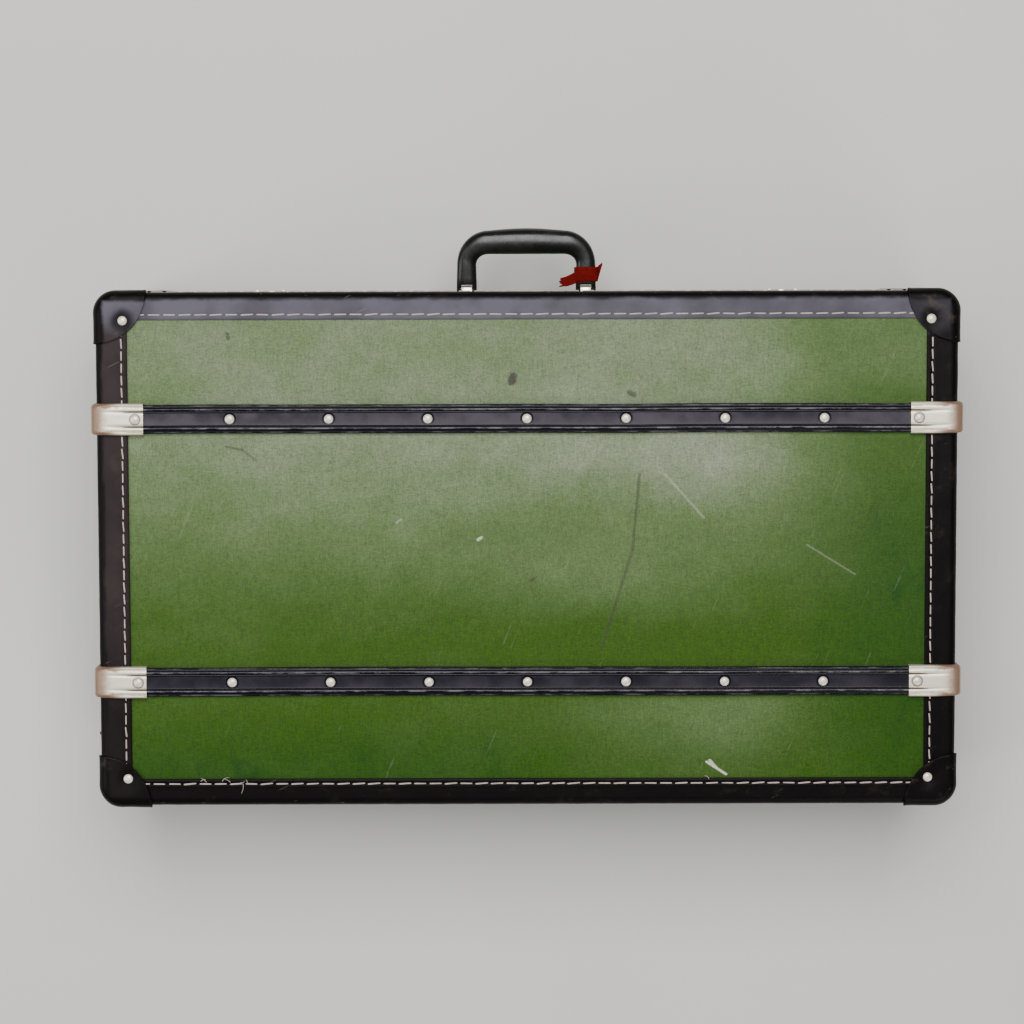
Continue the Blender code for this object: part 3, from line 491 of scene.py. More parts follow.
def dome(name, radius, height, flange=0.25 * MM):
    """A turned rivet head with its foot a little below its seat."""
    profile = [(0.0, -0.6 * MM), (radius * 0.96, -0.6 * MM), (radius, flange * 0.4)]
    profile += [(radius * math.cos(a), flange + (height - flange) * math.sin(a))
                for a in (math.radians(12 * k) for k in range(1, 8))]
    profile.append((0.0, height))
    bm = bmesh.new()
    verts = [bm.verts.new((x, 0, z)) for x, z in profile]
    edges = [bm.edges.new(pair) for pair in zip(verts, verts[1:])]
    bmesh.ops.spin(bm, geom=verts + edges, cent=(0, 0, 0), axis=(0, 0, 1), angle=2 * math.pi, steps=20)
    bmesh.ops.remove_doubles(bm, verts=bm.verts, dist=0.005 * MM)
    bmesh.ops.recalc_face_normals(bm, faces=bm.faces)
    return new_object(name, bm, None)


def stitch(name, reach, radius):
    """One laid stitch: a thread that rises from its hole, lies flat and dives again."""
    steps, sides = 8, 6
    slant, dive, flatness, thinning = 0.25 * MM, -1.1 * MM, 1.15, 0.5
    rows = []
    for k in range(steps + 1):
        share = 2 * k / steps - 1
        thick = radius * (1 - thinning * abs(share) ** 7)
        drop = dive * abs(share) ** 7
        rows.append([(share * reach / 2, thick * flatness * math.cos(a) + share * slant,
                      drop + thick * math.sin(a)) for a in (2 * math.pi * n / sides for n in range(sides))])
    return capped(name, rows, None)


# ---- corner caps ----

def cap_point(along, across, corner_radius, edge_radius):
    """Maps a sharp box corner onto the rounded one. Returns inward (a, b), depth and the outward normal."""
    if across <= -edge_radius:
        inset, depth, sideways, facewards = 0.0, -across, 1.0, 0.0
    elif across >= edge_radius:
        inset, depth, sideways, facewards = across, 0.0, 0.0, 1.0
    else:
        turn = math.pi / 4 * (1 + across / edge_radius)
        sideways, facewards = math.cos(turn), math.sin(turn)
        inset, depth = edge_radius * (1 - sideways), edge_radius * (1 - facewards)
    reach = abs(along)
    start = max(across, 0.0)
    out = (0.0, -1.0)
    place_in = (reach, inset)
    if reach < corner_radius:
        turn = math.pi / 4 * (1 - (reach - start) / max(corner_radius - start, 1e-9))
        out = (-math.sin(turn), -math.cos(turn))
        radius = corner_radius - inset
        place_in = (corner_radius + out[0] * radius, corner_radius + out[1] * radius)
    if along < 0:
        out, place_in = out[::-1], place_in[::-1]
    return place_in, depth, (out[0] * sideways, out[1] * sideways, facewards)


def make_cap(half, corner, side_x, side_y, surface):
    """A pressed cap: a rounded corner's skin out to a round edge, with a lip and a dimple."""
    sizes = bpy.context.scene.suitcase_sizes
    corner_radius = sizes.corner_radius + CAP_PROUD
    edge_radius = sizes.edge_radius + CAP_PROUD
    rivet = rivet_inset(half, corner) + CAP_PROUD
    rows_count, half_columns = 44, 22
    rows = []
    for j in range(rows_count + 1):
        across = -CAP_REACH + (CAP_REACH + CAP_REACH / math.sqrt(2)) * j / rows_count
        near = max(across, 0.0)
        far = math.sqrt(max(CAP_REACH ** 2 - across ** 2, 0.0))
        row = []
        for k in range(-half_columns, half_columns + 1):
            along = math.copysign(near + (far - near) * abs(k) / half_columns, k)
            (a, b), depth, out = cap_point(along, across, corner_radius, edge_radius)
            from_edge = CAP_REACH - math.hypot(along, across)
            shift = sizes.cap_lip * math.exp(-(from_edge / (1.6 * MM)) ** 2)
            shift -= sizes.cap_dimple * math.exp(-(math.hypot(a - rivet, b - rivet) / (8 * MM)) ** 2) * out[2]
            shift += wobble((a * side_x, b * side_y, depth + half.z(0)), 0.014, 0.3 * MM) - 0.12 * MM
            a, b = a + out[0] * shift, b + out[1] * shift
            row.append((side_x * (HALF_X + CAP_PROUD - a), CENTRE_Y + side_y * (HALF_Y + CAP_PROUD - b),
                        half.z(depth - CAP_PROUD - out[2] * shift)))
        rows.append(row)
    bm = bmesh.new()
    add_rows(bm, rows, around=False)
    turn_outwards(bm, Vector((0, CENTRE_Y, half.z(half.rim_depth))))
    name = f"{half.name}_corner_cap_{corner}"
    obj = add_wall(new_object(f"{name}_pressed", bm, surface), sizes.cap_wall)
    return place(obj, half.name, "black_leather", name)


def rivet_inset(half, corner):
    """How far a corner rivet's middle lies in from the binding's outline."""
    low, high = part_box(f"{half.name}_corner_rivet_{corner}")
    return HALF_X - abs(low.x + high.x) / 2


# ---- slats and their shoes ----

SLAT_RIBS = (
    # in from the slat's edge, down from its top, in mm
    (7.4, 0.2), (7.1, 0.0), (6.8, 1.3), (6.0, 1.5), (5.3, 0.7), (4.3, 0.4), (3.3, 0.7), (2.6, 1.7),
    (1.9, 2.0), (0.8, 1.9), (0.0, 2.7),
)


def slat_section(width, thick):
    """Half of the ribbed section as (distance from the middle, height), from the middle outwards."""
    edge = width / 2
    return [(edge - across * MM, thick - down * MM) for across, down in SLAT_RIBS] + [(edge, 0.0)]


def make_slat(half, place_name, surface):
    name = f"{half.name}_{place_name}_slat"
    low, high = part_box(name)
    middle_y = (low.y + high.y) / 2
    foot = half.inner(low, high)
    half_section = slat_section(high.y - low.y, high.z - low.z)
    section = [(-y, h) for y, h in half_section[::-1]] + half_section
    cuts = 70
    rows = []
    for k in range(cuts + 1):
        x = low.x + (high.x - low.x) * k / cuts
        sway = wobble((x, middle_y, half.face_z), 0.09, 0.5 * MM)
        rows.append([(x, middle_y + y + sway, foot + half.out * h) for y, h in section])
    obj = rounded(capped(f"{name}_ribbed", rows, surface), 0.22 * MM, 24, 50)
    return place(obj, half.name, "black_slat", name)


SHOE_GAP = 0.3 * MM
SHOE_BEND = 8 * MM
FLAT_ROWS, BEND_ROWS, DROP_ROWS = 14, 8, 12
RIBBED_ROWS = 13                        # the pressed ribs are gone by this row
SQUARE_ROWS, ROUNDING_ROWS = 8, 10      # the edges stay crisp up to a row, then soften over some more


def shoe_path(top, reach, proud, drop, slat_foot, edge_radius):
    """(seat, outer, outward) points in (inset, height over the face), from the inner end round and down."""
    pairs = []
    bend_x, bend_z = SHOE_BEND - proud, top - SHOE_BEND
    for k in range(FLAT_ROWS + 1):
        inset = reach + (bend_x - reach) * k / FLAT_ROWS
        seat = slat_foot if inset > BINDING_WIDTH + SHOE_GAP else SHOE_GAP
        pairs.append(((max(inset, edge_radius), seat), (inset, top), (0.0, 1.0)))
    for k in range(1, BEND_ROWS + 1):
        turn = math.radians(90 + 90 * k / BEND_ROWS)
        out = (math.cos(turn), math.sin(turn))
        seat = (edge_radius + (edge_radius + SHOE_GAP) * out[0],
                -edge_radius + (edge_radius + SHOE_GAP) * out[1])
        pairs.append((seat, (bend_x + SHOE_BEND * out[0], bend_z + SHOE_BEND * out[1]), out))
    for k in range(1, DROP_ROWS + 1):
        height = bend_z + (-drop - bend_z) * k / DROP_ROWS
        pairs.append(((-SHOE_GAP, min(height, -edge_radius)), (-proud, height), (-1.0, 0.0)))
    return pairs


def shoe_section(half_width, corner, drop):
    """(y, share from seat to top, rib weight) across a shoe, from one skirt over the top to the other."""
    rise = 1 - drop
    side = [(-half_width, 0.0, 0.0), (-half_width, rise * 0.45, 0.0), (-half_width, rise * 0.85, 0.0)]
    side += [(-half_width + corner * (1 - math.cos(a)), rise + drop * math.sin(a), 0.0)
             for a in (math.radians(18 * k) for k in range(6))]
    flat = half_width - corner
    top = [(-flat + 2 * flat * k / 26, 1.0, 1.0) for k in range(1, 26)]
    return side + top + [(-y, share, weight) for y, share, weight in side[::-1]]


GROOVE_FROM_MIDDLE, GROOVE_HALF_WIDTH, GROOVE_DEPTH = 6.4 * MM, 0.9 * MM, 1.6 * MM
SHOULDER_FROM_MIDDLE, SHOULDER_SLOPE, SHOULDER_DEPTH = 10.3 * MM, 0.35 * MM, 1.2 * MM


def rib_height(y):
    """Pressed ribs over the slat: a flat middle, two grooves, two shoulders."""
    groove = math.exp(-((abs(y) - GROOVE_FROM_MIDDLE) / GROOVE_HALF_WIDTH) ** 2)
    shoulder = 1 / (1 + math.exp(-(abs(y) - SHOULDER_FROM_MIDDLE) / SHOULDER_SLOPE))
    return -GROOVE_DEPTH * groove - SHOULDER_DEPTH * shoulder


def make_shoe(half, place_name, side_name, side, surface):
    """The folded metal end of a slat: pressed ribs that fade out towards the bend round the case's edge."""
    sizes = bpy.context.scene.suitcase_sizes
    name = f"{half.name}_{place_name}_slat_end_{side_name}"
    low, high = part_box(name)
    slat_low, slat_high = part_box(f"{half.name}_{place_name}_slat")
    middle_y = (low.y + high.y) / 2
    inner_x, outer_x = sorted((abs(low.x), abs(high.x)))
    top = abs(half.outer(low, high) - half.face_z)
    drop = (high.z - low.z) - top
    foot = (half.inner(slat_low, slat_high) - half.face_z) * half.out
    pairs = shoe_path(top, HALF_X - inner_x, outer_x - HALF_X, drop - 0.5 * MM, foot, sizes.edge_radius)
    half_width = (high.y - low.y) / 2
    rows = []
    for number, (seat, outer, out) in enumerate(pairs):
        fade = max(0.0, 1 - number / RIBBED_ROWS) ** 0.8
        lip = 0.25 * MM if number == 0 else 0.0
        round_off = eased(min(max((number - SQUARE_ROWS) / ROUNDING_ROWS, 0.0), 1.0))
        section = shoe_section(half_width, (1.7 + 3.0 * round_off) * MM, 0.25 + 0.6 * round_off)
        rows.append(shoe_row(seat, outer, out, section, fade, lip, 1.0, side, half, middle_y))
    seat, outer, out = pairs[-1]
    for share, lower in ((0.85, 0.35 * MM), (0.45, 0.5 * MM), (0.0, 0.5 * MM)):
        rows.append(shoe_row((seat[0], seat[1] - lower), (outer[0], outer[1] - lower), out, section, 0.0, 0.0,
                             share, side, half, middle_y))
    bm = bmesh.new()
    add_rows(bm, rows, around=False)
    turn_outwards(bm, Vector((side * (HALF_X - 20 * MM), middle_y, half.z(20 * MM))))
    obj = add_wall(new_object(f"{name}_folded", bm, surface), sizes.shoe_wall * 0.8)
    obj.data.set_sharp_from_angle(angle=math.radians(60))
    return place(obj, half.name, "nickel", name)


def shoe_row(seat, outer, out, section, fade, lip, closing, side, half, middle_y):
    row = []
    for y, share, weight in section:
        share *= closing
        push = rib_height(y) * weight * fade - lip * weight
        inset = seat[0] + (outer[0] - seat[0]) * share + out[0] * push
        height = seat[1] + (outer[1] - seat[1]) * share + out[1] * push
        dent = wobble((inset * side, y, height + half.face_z), 0.009, 0.14 * MM) * weight
        row.append((side * (HALF_X - inset), middle_y + y, half.z(-height - dent * max(out[1], 0))))
    return row


# ---- handle and ribbon ----

LEG_HALF_WIDTH, FOOT_HALF_WIDTH, GRIP_HALF_WIDTH = 8.7 * MM, 9.1 * MM, 11.7 * MM
FOOT_HALF_DEPTH, LEG_HALF_DEPTH = 4.4 * MM, 5.2 * MM
HANDLE_BEND, HANDLE_ARCH = 20 * MM, 1.0 * MM
FOOT_LENGTH = 6 * MM
FOOT_ROUNDING = (
    # up from the leg's end or, for the last three, from the pivot; half width; half depth; all in mm
    (0.0, 8.3, 1.0), (0.4, 8.8, 1.9), (1.2, 9.1, 2.7), (0.0, 9.1, 3.3), (3.0, 9.1, 3.9), (6.0, 9.1, 4.4),
)
GRIP_SIDES = 32
LUG_SLOT_WIDTH, LUG_SLOT_DEPTH = 9.6 * MM, 30 * MM
LUG_SLOT_ROOM, LUG_SLOT_OVERRUN = 0.6 * MM, 2 * MM


def oval(wide, deep, sides, power=0.8):
    """(across, up) points of the grip's section, between an ellipse and a rectangle."""
    points = []
    for k in range(sides):
        c, s = math.cos(2 * math.pi * k / sides), math.sin(2 * math.pi * k / sides)
        points.append((math.copysign(abs(c) ** power, c) * wide, math.copysign(abs(s) ** power, s) * deep))
    return points


def eased(share):
    return share * share * (3 - 2 * share)


def handle_path(low, high):
    """(x, y, half width, half depth, direction in degrees) from the left leg's end over to the right."""
    grip_deep = (high.z - low.z) / 2
    leg_x = (high.x - low.x) / 2 - FOOT_HALF_WIDTH
    top = high.y - GRIP_HALF_WIDTH
    bend_y = top - HANDLE_ARCH - HANDLE_BEND
    swell = GRIP_HALF_WIDTH - HANDLE_ARCH - LEG_HALF_WIDTH
    rows = [(-leg_x, (low.y if number < 3 else HANDLE_PIVOT.y) + up * MM, wide * MM, deep * MM, 180.0)
            for number, (up, wide, deep) in enumerate(FOOT_ROUNDING)]
    start = HANDLE_PIVOT.y + FOOT_LENGTH
    for k in range(1, 6):
        share = k / 5
        rows.append((-leg_x, start + (bend_y - start) * share,
                     FOOT_HALF_WIDTH + (LEG_HALF_WIDTH - FOOT_HALF_WIDTH) * share,
                     FOOT_HALF_DEPTH + (LEG_HALF_DEPTH - FOOT_HALF_DEPTH) * share, 180.0))
    for k in range(1, 13):
        turn = math.radians(180 - 90 * k / 12)
        grown = eased(k / 12)
        deep = LEG_HALF_DEPTH + (grip_deep - LEG_HALF_DEPTH) * 0.6 * grown
        x, y = HANDLE_BEND * (1 + math.cos(turn)) - leg_x, bend_y + HANDLE_BEND * math.sin(turn)
        rows.append((x, y, LEG_HALF_WIDTH + swell * grown, deep, math.degrees(turn)))
    for k in range(1, 9):
        arch = math.sin(k / 8 * math.pi / 2)
        sunk = HANDLE_ARCH * (1 - arch)
        rows.append(((HANDLE_BEND - leg_x) * (1 - k / 8), top - sunk, GRIP_HALF_WIDTH - sunk,
                     LEG_HALF_DEPTH + (grip_deep - LEG_HALF_DEPTH) * (0.6 + 0.4 * arch), 90.0))
    return rows + [(-x, y, wide, deep, 180 - turn) for x, y, wide, deep, turn in rows[-2::-1]]


def make_handle(surface):
    low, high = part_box("handle_grip")
    rows = []
    for x, y, wide, deep, turn in handle_path(low, high):
        out = Vector((math.cos(math.radians(turn)), math.sin(math.radians(turn)), 0))
        rows.append([Vector((x, y, HANDLE_PIVOT.z)) + out * across + Vector((0, 0, up))
                     for across, up in oval(wide, deep, GRIP_SIDES)])
    grip = capped("handle_moulded_grip", rows, surface)
    bm = bmesh.new()
    start = low.y - LUG_SLOT_OVERRUN
    for side_name, _ in SIDES:
        lug_low, lug_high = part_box(f"handle_bracket_{side_name}")
        slot = (LUG_SLOT_WIDTH, 2 * (lug_high.y + LUG_SLOT_ROOM - start), LUG_SLOT_DEPTH)
        at = Matrix.Translation(((lug_low.x + lug_high.x) / 2, start, HANDLE_PIVOT.z))
        bmesh.ops.create_cube(bm, size=1.0, matrix=at @ Matrix.Diagonal((*slot, 1)))
    cutter = new_object("lug_slots", bm, surface)
    cut = grip.modifiers.new("slots", "BOOLEAN")
    cut.operation = "DIFFERENCE"
    cut.object = cutter
    rounded(grip, 0.35 * MM, 50, 45)
    bpy.data.objects.remove(cutter)
    return place(grip, "handle", "black_moulded", "handle_grip")


RIBBON_CLEARANCE = 3.0 * MM     # half the room at the pivot when the handle folds flat
RIBBON_SLOPE = 0.268            # how the room widens up the leg
TAIL_EASING = 1.5 * MM          # how much less room the tail's end keeps
RIBBON_WALL = 0.35 * MM
TORN_END = (
    # past the leg's side, over the pivot and up the leg in mm, share of the ribbon's width
    (5.2, 2.6, 9.5, 0.12), (4.2, 2.2, 7.6, 0.34), (3.2, 1.6, 5.6, 0.55), (2.0, 0.9, 3.0, 0.8),
    (1.0, 0.2, 1.0, 0.96),
)


def make_ribbon(surface):
    """The scrap of ribbon: a torn end, one turn round the right leg, and a crumpled tail to the left."""
    width = bpy.context.scene.suitcase_sizes.ribbon_width
    low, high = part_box("luggage_ribbon")
    leg_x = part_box("handle_grip")[1].x - FOOT_HALF_WIDTH
    middle_y = (low.y + high.y) / 2 - 0.4 * MM
    wide, deep = FOOT_HALF_WIDTH + 0.6 * MM, LEG_HALF_DEPTH + 0.7 * MM
    spine = [(leg_x + wide + out * MM, HANDLE_PIVOT.z + up * MM, rise * MM, share * width)
             for out, up, rise, share in TORN_END]
    for k in range(31):
        angle = math.radians(-8 - 352 * k / 30)
        c, s = math.cos(angle), math.sin(angle)
        spread = 0.35 * MM + 0.5 * MM * k / 30
        spine.append((leg_x + math.copysign(abs(c) ** 0.85, c) * (wide + spread),
                      HANDLE_PIVOT.z + math.copysign(abs(s) ** 0.85, s) * (deep + spread), 0.0, width))
    tail = []
    for k in range(19):
        share = k / 18
        wave = 1.2 * MM - 1.6 * MM * share + 1.1 * MM * math.sin(7.0 * share)
        tail.append((leg_x + wide * 0.2 - 25 * MM * share, HANDLE_PIVOT.z + deep + wave,
                     (-0.3 - 7.0 * eased(share)) * MM, width * (0.92 - 0.28 * share)))
    bm = bmesh.new()
    add_rows(bm, strip_rows(spine, middle_y), around=False)
    add_rows(bm, strip_rows(tail, middle_y, torn=True), around=False)
    bmesh.ops.recalc_face_normals(bm, faces=bm.faces)
    obj = add_wall(new_object("luggage_ribbon_cloth", bm, surface), RIBBON_WALL)
    place(obj, "handle", "red_ribbon", "luggage_ribbon")
    return obj


def strip_rows(spine, middle_y, torn=False):
    """Rows across a strip along (x, z, rise, width); a torn end has long and short threads.

    The strip stays low enough near the pivot to clear the case when the handle folds flat.
    """
    rows = []
    columns = 10
    for number, (x, z, rise, width) in enumerate(spine):
        row = []
        clearance = RIBBON_CLEARANCE - (TAIL_EASING * number / len(spine) if torn else 0.0)
        late = max(0, number - len(spine) + 5) / 4 if torn else 0.0
        for k in range(columns + 1):
            share = k / columns - 0.5
            y = middle_y + rise + share * width + wobble((x, z, share), 0.004, 0.7 * MM)
            pull = wobble((share * 9, 0.3, 0.7), 0.9, 3.5 * MM) * late
            over = z + wobble((x * 1.5, y, 2.0), 0.005, 0.8 * MM) - HANDLE_PIVOT.z
            limit = clearance + RIBBON_SLOPE * (y - HANDLE_PIVOT.y)
            row.append((x + pull, y, HANDLE_PIVOT.z + min(max(over, -limit), limit)))
        rows.append(row)
    return rows


# ---- locks, hinges and brackets: the frame's own shapes with softened edges ----

def softened(node, width, surface, slot):
    """A copy of a CAD node's mesh, merged, with its edges rounded."""
    bm = bmesh.new()
    bm.from_mesh(frame["nodes"][node].data)
    bmesh.ops.remove_doubles(bm, verts=bm.verts, dist=0.002 * MM)
    bmesh.ops.dissolve_limit(bm, angle_limit=math.radians(1), verts=bm.verts, edges=bm.edges)
    obj = rounded(new_object(f"{node}_finished", bm, surface), width, 40, 50)
    return place(obj, BODY_OF[node], slot, node)


# ---- shader helpers and shared groups ----

class Value:
    """A shader socket that takes part in sums: each operation adds a math node to its tree."""

    def __init__(self, socket):
        self.socket = socket
        self.tree = socket.id_data

    def math(self, operation, *others):
        return value_of(self.tree, "ShaderNodeMath", dict(enumerate((self, *others))), operation=operation)

    def __add__(self, other):
        return self.math("ADD", other)

    def __sub__(self, other):
        return self.math("SUBTRACT", other)

    def __rsub__(self, other):
        return value_of(self.tree, "ShaderNodeMath", {0: other, 1: self}, operation="SUBTRACT")

    def __mul__(self, other):
        return self.math("MULTIPLY", other)

    def __truediv__(self, other):
        return self.math("DIVIDE", other)

    def __rtruediv__(self, other):
        return value_of(self.tree, "ShaderNodeMath", {0: other, 1: self}, operation="DIVIDE")

    def __abs__(self):
        return self.math("ABSOLUTE")

    def clamped(self):
        """Keeps the result of the last sum between 0 and 1."""
        self.socket.node.use_clamp = True
        return self


def value_of(tree, kind, inputs=None, output=0, **settings):
    """Adds a node and gives one of its outputs."""
    return Value(tree_node(tree, kind, inputs, **settings).outputs[output])


def larger(first, second):
    return first.math("MAXIMUM", second)


def smaller(first, second):
    return first.math("MINIMUM", second)


def distance(across, along):
    return (across * across + along * along).math("SQRT")


def split(vector):
    return [Value(part) for part in tree_node(vector.tree, "ShaderNodeSeparateXYZ", {0: vector}).outputs]


def vectors(operation, first, second, output="Vector"):
    """Vector math; SCALE takes a number as its second."""
    other = "Scale" if operation == "SCALE" else 1
    return value_of(first.tree, "ShaderNodeVectorMath", {0: first, other: second}, output,
                    operation=operation)


def grey(shade):
    return value_of(shade.tree, "ShaderNodeCombineColor", {0: shade, 1: shade, 2: shade})


def blend_color(share, first, second, mode="MIX"):
    tree = next(part.tree for part in (share, first, second) if isinstance(part, Value))
    ends = {key: part if isinstance(part, Value) else (*part, 1.0) for key, part in ((6, first), (7, second))}
    return value_of(tree, "ShaderNodeMix", {0: share, **ends}, 2, data_type="RGBA", blend_type=mode)


def remap(value, low, high, to_low=0.0, to_high=1.0, shape="SMOOTHSTEP"):
    return value_of(value.tree, "ShaderNodeMapRange", {0: value, 1: low, 2: high, 3: to_low, 4: to_high},
                    interpolation_type=shape)


def near(value, middle, inner, outer, at_middle=1.0, away=0.0):
    """One number where a value is near a middle, passing smoothly to another away from it."""
    return remap(abs(value - middle), inner, outer, at_middle, away)


def stretched(vector, scale, turn=0.0):
    return value_of(vector.tree, "ShaderNodeMapping",
                    {"Vector": vector, "Rotation": (0, 0, turn), "Scale": scale})


def cloud(vector, scale, detail=3.0, roughness=0.55):
    return value_of(vector.tree, "ShaderNodeTexNoise", {"Vector": vector, "Scale": scale, "Detail": detail,
                    "Roughness": roughness})


def shader_group(name, inputs, outputs):
    """An empty group with named sockets. Returns its inputs and a function that sets its outputs."""
    tree = bpy.data.node_groups.new(name, "ShaderNodeTree")
    for label, kind, default in inputs:
        socket = tree.interface.new_socket(label, in_out="INPUT", socket_type=f"NodeSocket{kind}")
        if default is not None:
            socket.default_value = default
    for label in outputs:
        tree.interface.new_socket(label, in_out="OUTPUT", socket_type="NodeSocketFloat")
    given = tree_node(tree, "NodeGroupInput").outputs

    def put(**values):
        tree_node(tree, "NodeGroupOutput", values)

    return [Value(given[label]) for label, _, _ in inputs], put


def use_group(group, vector, **inputs):
    """Places a shared group on a vector. Returns its outputs by name."""
    made = tree_node(vector.tree, "ShaderNodeGroup", node_tree=bpy.data.node_groups[group])
    for name, value in {"Vector": vector, **inputs}.items():
        set_input(vector.tree, made.inputs[name], value)
    return {socket.name: Value(socket) for socket in made.outputs}


def build_weave_group():
    """Canvas: slubby threads both ways, as a height and a shade."""
    (vector, pitch), put = shader_group(
        "canvas_weave", [("Vector", "Vector", None), ("Pitch", "Float", 1.0 * MM)], ["Height", "Shade"])
    at = vectors("SCALE", vector, 1.0 / pitch)
    x, y, _ = split(at)
    warp, weft = (abs((part * math.pi).math("SINE")) for part in (x, y))
    along = cloud(stretched(at, (0.24, 0.85, 1.0)), 1.0, 2.0)
    down = cloud(stretched(at, (0.85, 0.13, 1.0)), 1.0, 2.0)
    slub = (along + down) * 0.45 + cloud(at, 0.85, 3.0, 0.7) * 1.1
    put(Height=(warp + weft) * 0.35 + slub, Shade=slub - 1.0)


def build_mark_group():
    """One straight mark from a start along a run, soft at its edges and broken by noise."""
    (vector, start, run, width, rough), put = shader_group(
        "single_mark", [("Vector", "Vector", None), ("Start", "Vector", (0, 0, 0)),
                        ("Run", "Vector", (0.01, 0, 0)), ("Width", "Float", 1 * MM), ("Rough", "Float", 0.5)],
        ["Mask"])
    away = vectors("SUBTRACT", vectors("MULTIPLY", vector, (1, 1, 0)), start)
    share = (vectors("DOT_PRODUCT", away, run, "Value") / vectors("DOT_PRODUCT", run, run, "Value")).clamped()
    gap = vectors("DISTANCE", away, vectors("SCALE", run, share), "Value")
    spots = (cloud(vector, 900.0, 3.0) - 0.5) * rough
    put(Mask=remap(gap / width + spots, 0.35, 0.75, 1.0, 0.0))


def build_scratch_group():
    """Fine random scratches along one direction."""
    (vector, turn, fineness, amount), put = shader_group(
        "hair_scratches", [("Vector", "Vector", None), ("Turn", "Float", 0.0), ("Fineness", "Float", 400.0),
                           ("Amount", "Float", 0.1)], ["Mask"])
    turned = value_of(vector.tree, "ShaderNodeVectorRotate", {"Vector": vector, "Angle": turn})
    lines = cloud(stretched(turned, (1.0, 0.03, 1.0)), fineness, 1.0)
    level = 0.78 - amount
    put(Mask=remap(lines, level, level + 0.03) * remap(cloud(turned, 60.0, 2.0), 0.5, 0.62))


def build_grain_group():
    """Leather grain: small cells with creases between them, and a worn mask."""
    (vector, cells), put = shader_group(
        "leather_grain", [("Vector", "Vector", None), ("Cells", "Float", 900.0)], ["Height", "Worn"])
    edges = value_of(vector.tree, "ShaderNodeTexVoronoi", {"Vector": vector, "Scale": cells}, "Distance",
                     feature="DISTANCE_TO_EDGE")
    put(Height=remap(edges, 0.0, 0.22) * 0.7 + cloud(vector, 2600.0, 2.0) * 0.5,
        Worn=remap(cloud(vector, 55.0, 4.0, 0.65), 0.55, 0.75))


def build_tarnish_group():
    """Where plating has bloomed brown, and the fine polish lines over it."""
    (vector, amount), put = shader_group(
        "plating_bloom", [("Vector", "Vector", None), ("Amount", "Float", 0.4)], ["Bloom", "Lines"])
    spots = cloud(vector, 95.0, 5.0, 0.7) + (cloud(vector, 700.0, 3.0, 0.6) - 0.5) * 0.35
    level = 0.86 - amount * 0.6
    put(Bloom=remap(spots, level, level + 0.2), Lines=cloud(stretched(vector, (0.06, 1.0, 1.0)), 1500.0, 2.0))


def new_surface(name, roughness, metallic=0.0, specular=0.5):
    """A material, its Principled shader and its Object coordinates."""
    made = bpy.data.materials.new(name)
    made.use_nodes = True
    shader = made.node_tree.nodes["Principled BSDF"]
    shader.inputs["Roughness"].default_value = roughness
    shader.inputs["Metallic"].default_value = metallic
    shader.inputs["Specular IOR Level"].default_value = specular
    return made, shader, value_of(made.node_tree, "ShaderNodeTexCoord", output="Object")


def bump(shader, height, distance, strength=1.0):
    raised = value_of(height.tree, "ShaderNodeBump",
                      {"Height": height, "Distance": distance, "Strength": strength})
    feed(shader, normal=raised)


def feed(shader, **inputs):
    for name, value in inputs.items():
        set_input(value.tree, shader.inputs[name.replace("_", " ").title()], value)


def scuffed(at, tint, strength, scuff_color, **pattern):
    """A colour with fine scratches over it."""
    mask = use_group("hair_scratches", at, **pattern)["Mask"]
    return blend_color(mask * strength, tint, scuff_color)


# ---- finishes ----

GREEN_MARKS = (
    # start x, start y, run x, run y and width in mm, roughness of the edge, strength, pale (1) or dark (0)
    (-13, 147, 1, 4, 6.5, 1.2, 0.9, 0),
    (89, 137, 4, -2, 4, 1.2, 0.7, 0),
    (-260, 189, 1, -4, 3, 1.0, 0.6, 0),
    (-262, 91, 14, -3, 2, 0.8, 0.5, 0),
    (-248, 88, 12, -9, 2, 0.8, 0.4, 0),
    (98, 66, -6, -66, 2.2, 0.9, 0.5, 0),
    (92, 0, -27, -86, 2.4, 0.9, 0.45, 0),
    (120, 66, 34, -38, 1.8, 0.8, 0.2, 1),
    (244, 4, 42, -26, 1.5, 0.8, 0.14, 1),
    (157, -187, 17, -11, 2.0, 0.8, 0.9, 1),
    (160, -186, 5, -6, 2.4, 1.0, 0.8, 1),
    (-43, 9, 3, 2, 2.2, 1.0, 0.75, 1),
    (3, -27, 3, 2, 2.4, 1.0, 0.55, 0),
    (-114, 24, 4, 3, 1.4, 0.8, 0.3, 1),
    (-156, 130, 30, -8, 1.2, 0.8, 0.14, 1),
)
MARK_INKS = ((0.045, 0.04, 0.03), (0.62, 0.62, 0.5))    # dark, pale
# Deep green darkens the lower edge as painted shade, and the right edge.
DEEP_GREEN = (0.002, 0.042, 0.001)
PALE_SCUFF = (0.5, 0.52, 0.42)
WORN_LEATHER = (0.10, 0.075, 0.06)
LEATHER_SCUFF = (0.25, 0.21, 0.18)
SLAT_DUST = (0.088, 0.078, 0.096)
# Pale crests: partly rubbed wear, partly a painted highlight.
SLAT_CREST_WEAR_AND_HIGHLIGHT = (0.30, 0.29, 0.31)
# Painted reflection and shade on the shoes: cream plate for a warm reflection, brown for shade along the borders,
# near black for shade in the grooves.
SHOE_PLATE_AND_REFLECTION = (1.0, 0.93, 0.75)
SHOE_EDGE_SHADE = (0.25, 0.125, 0.075)
SHOE_GROOVE_SHADE = (0.045, 0.020, 0.012)
HANDLE_RUBBED = (0.016, 0.014, 0.015)
PAPER_AGED = (0.36, 0.26, 0.15)
PAPER_CHECK = (0.20, 0.24, 0.14)
CHECK_PITCH = 18 * MM


def from_middle(at):
    """Object coordinates with their origin moved to the middle of the case."""
    return vectors("ADD", at, (0, -CENTRE_Y, 0))


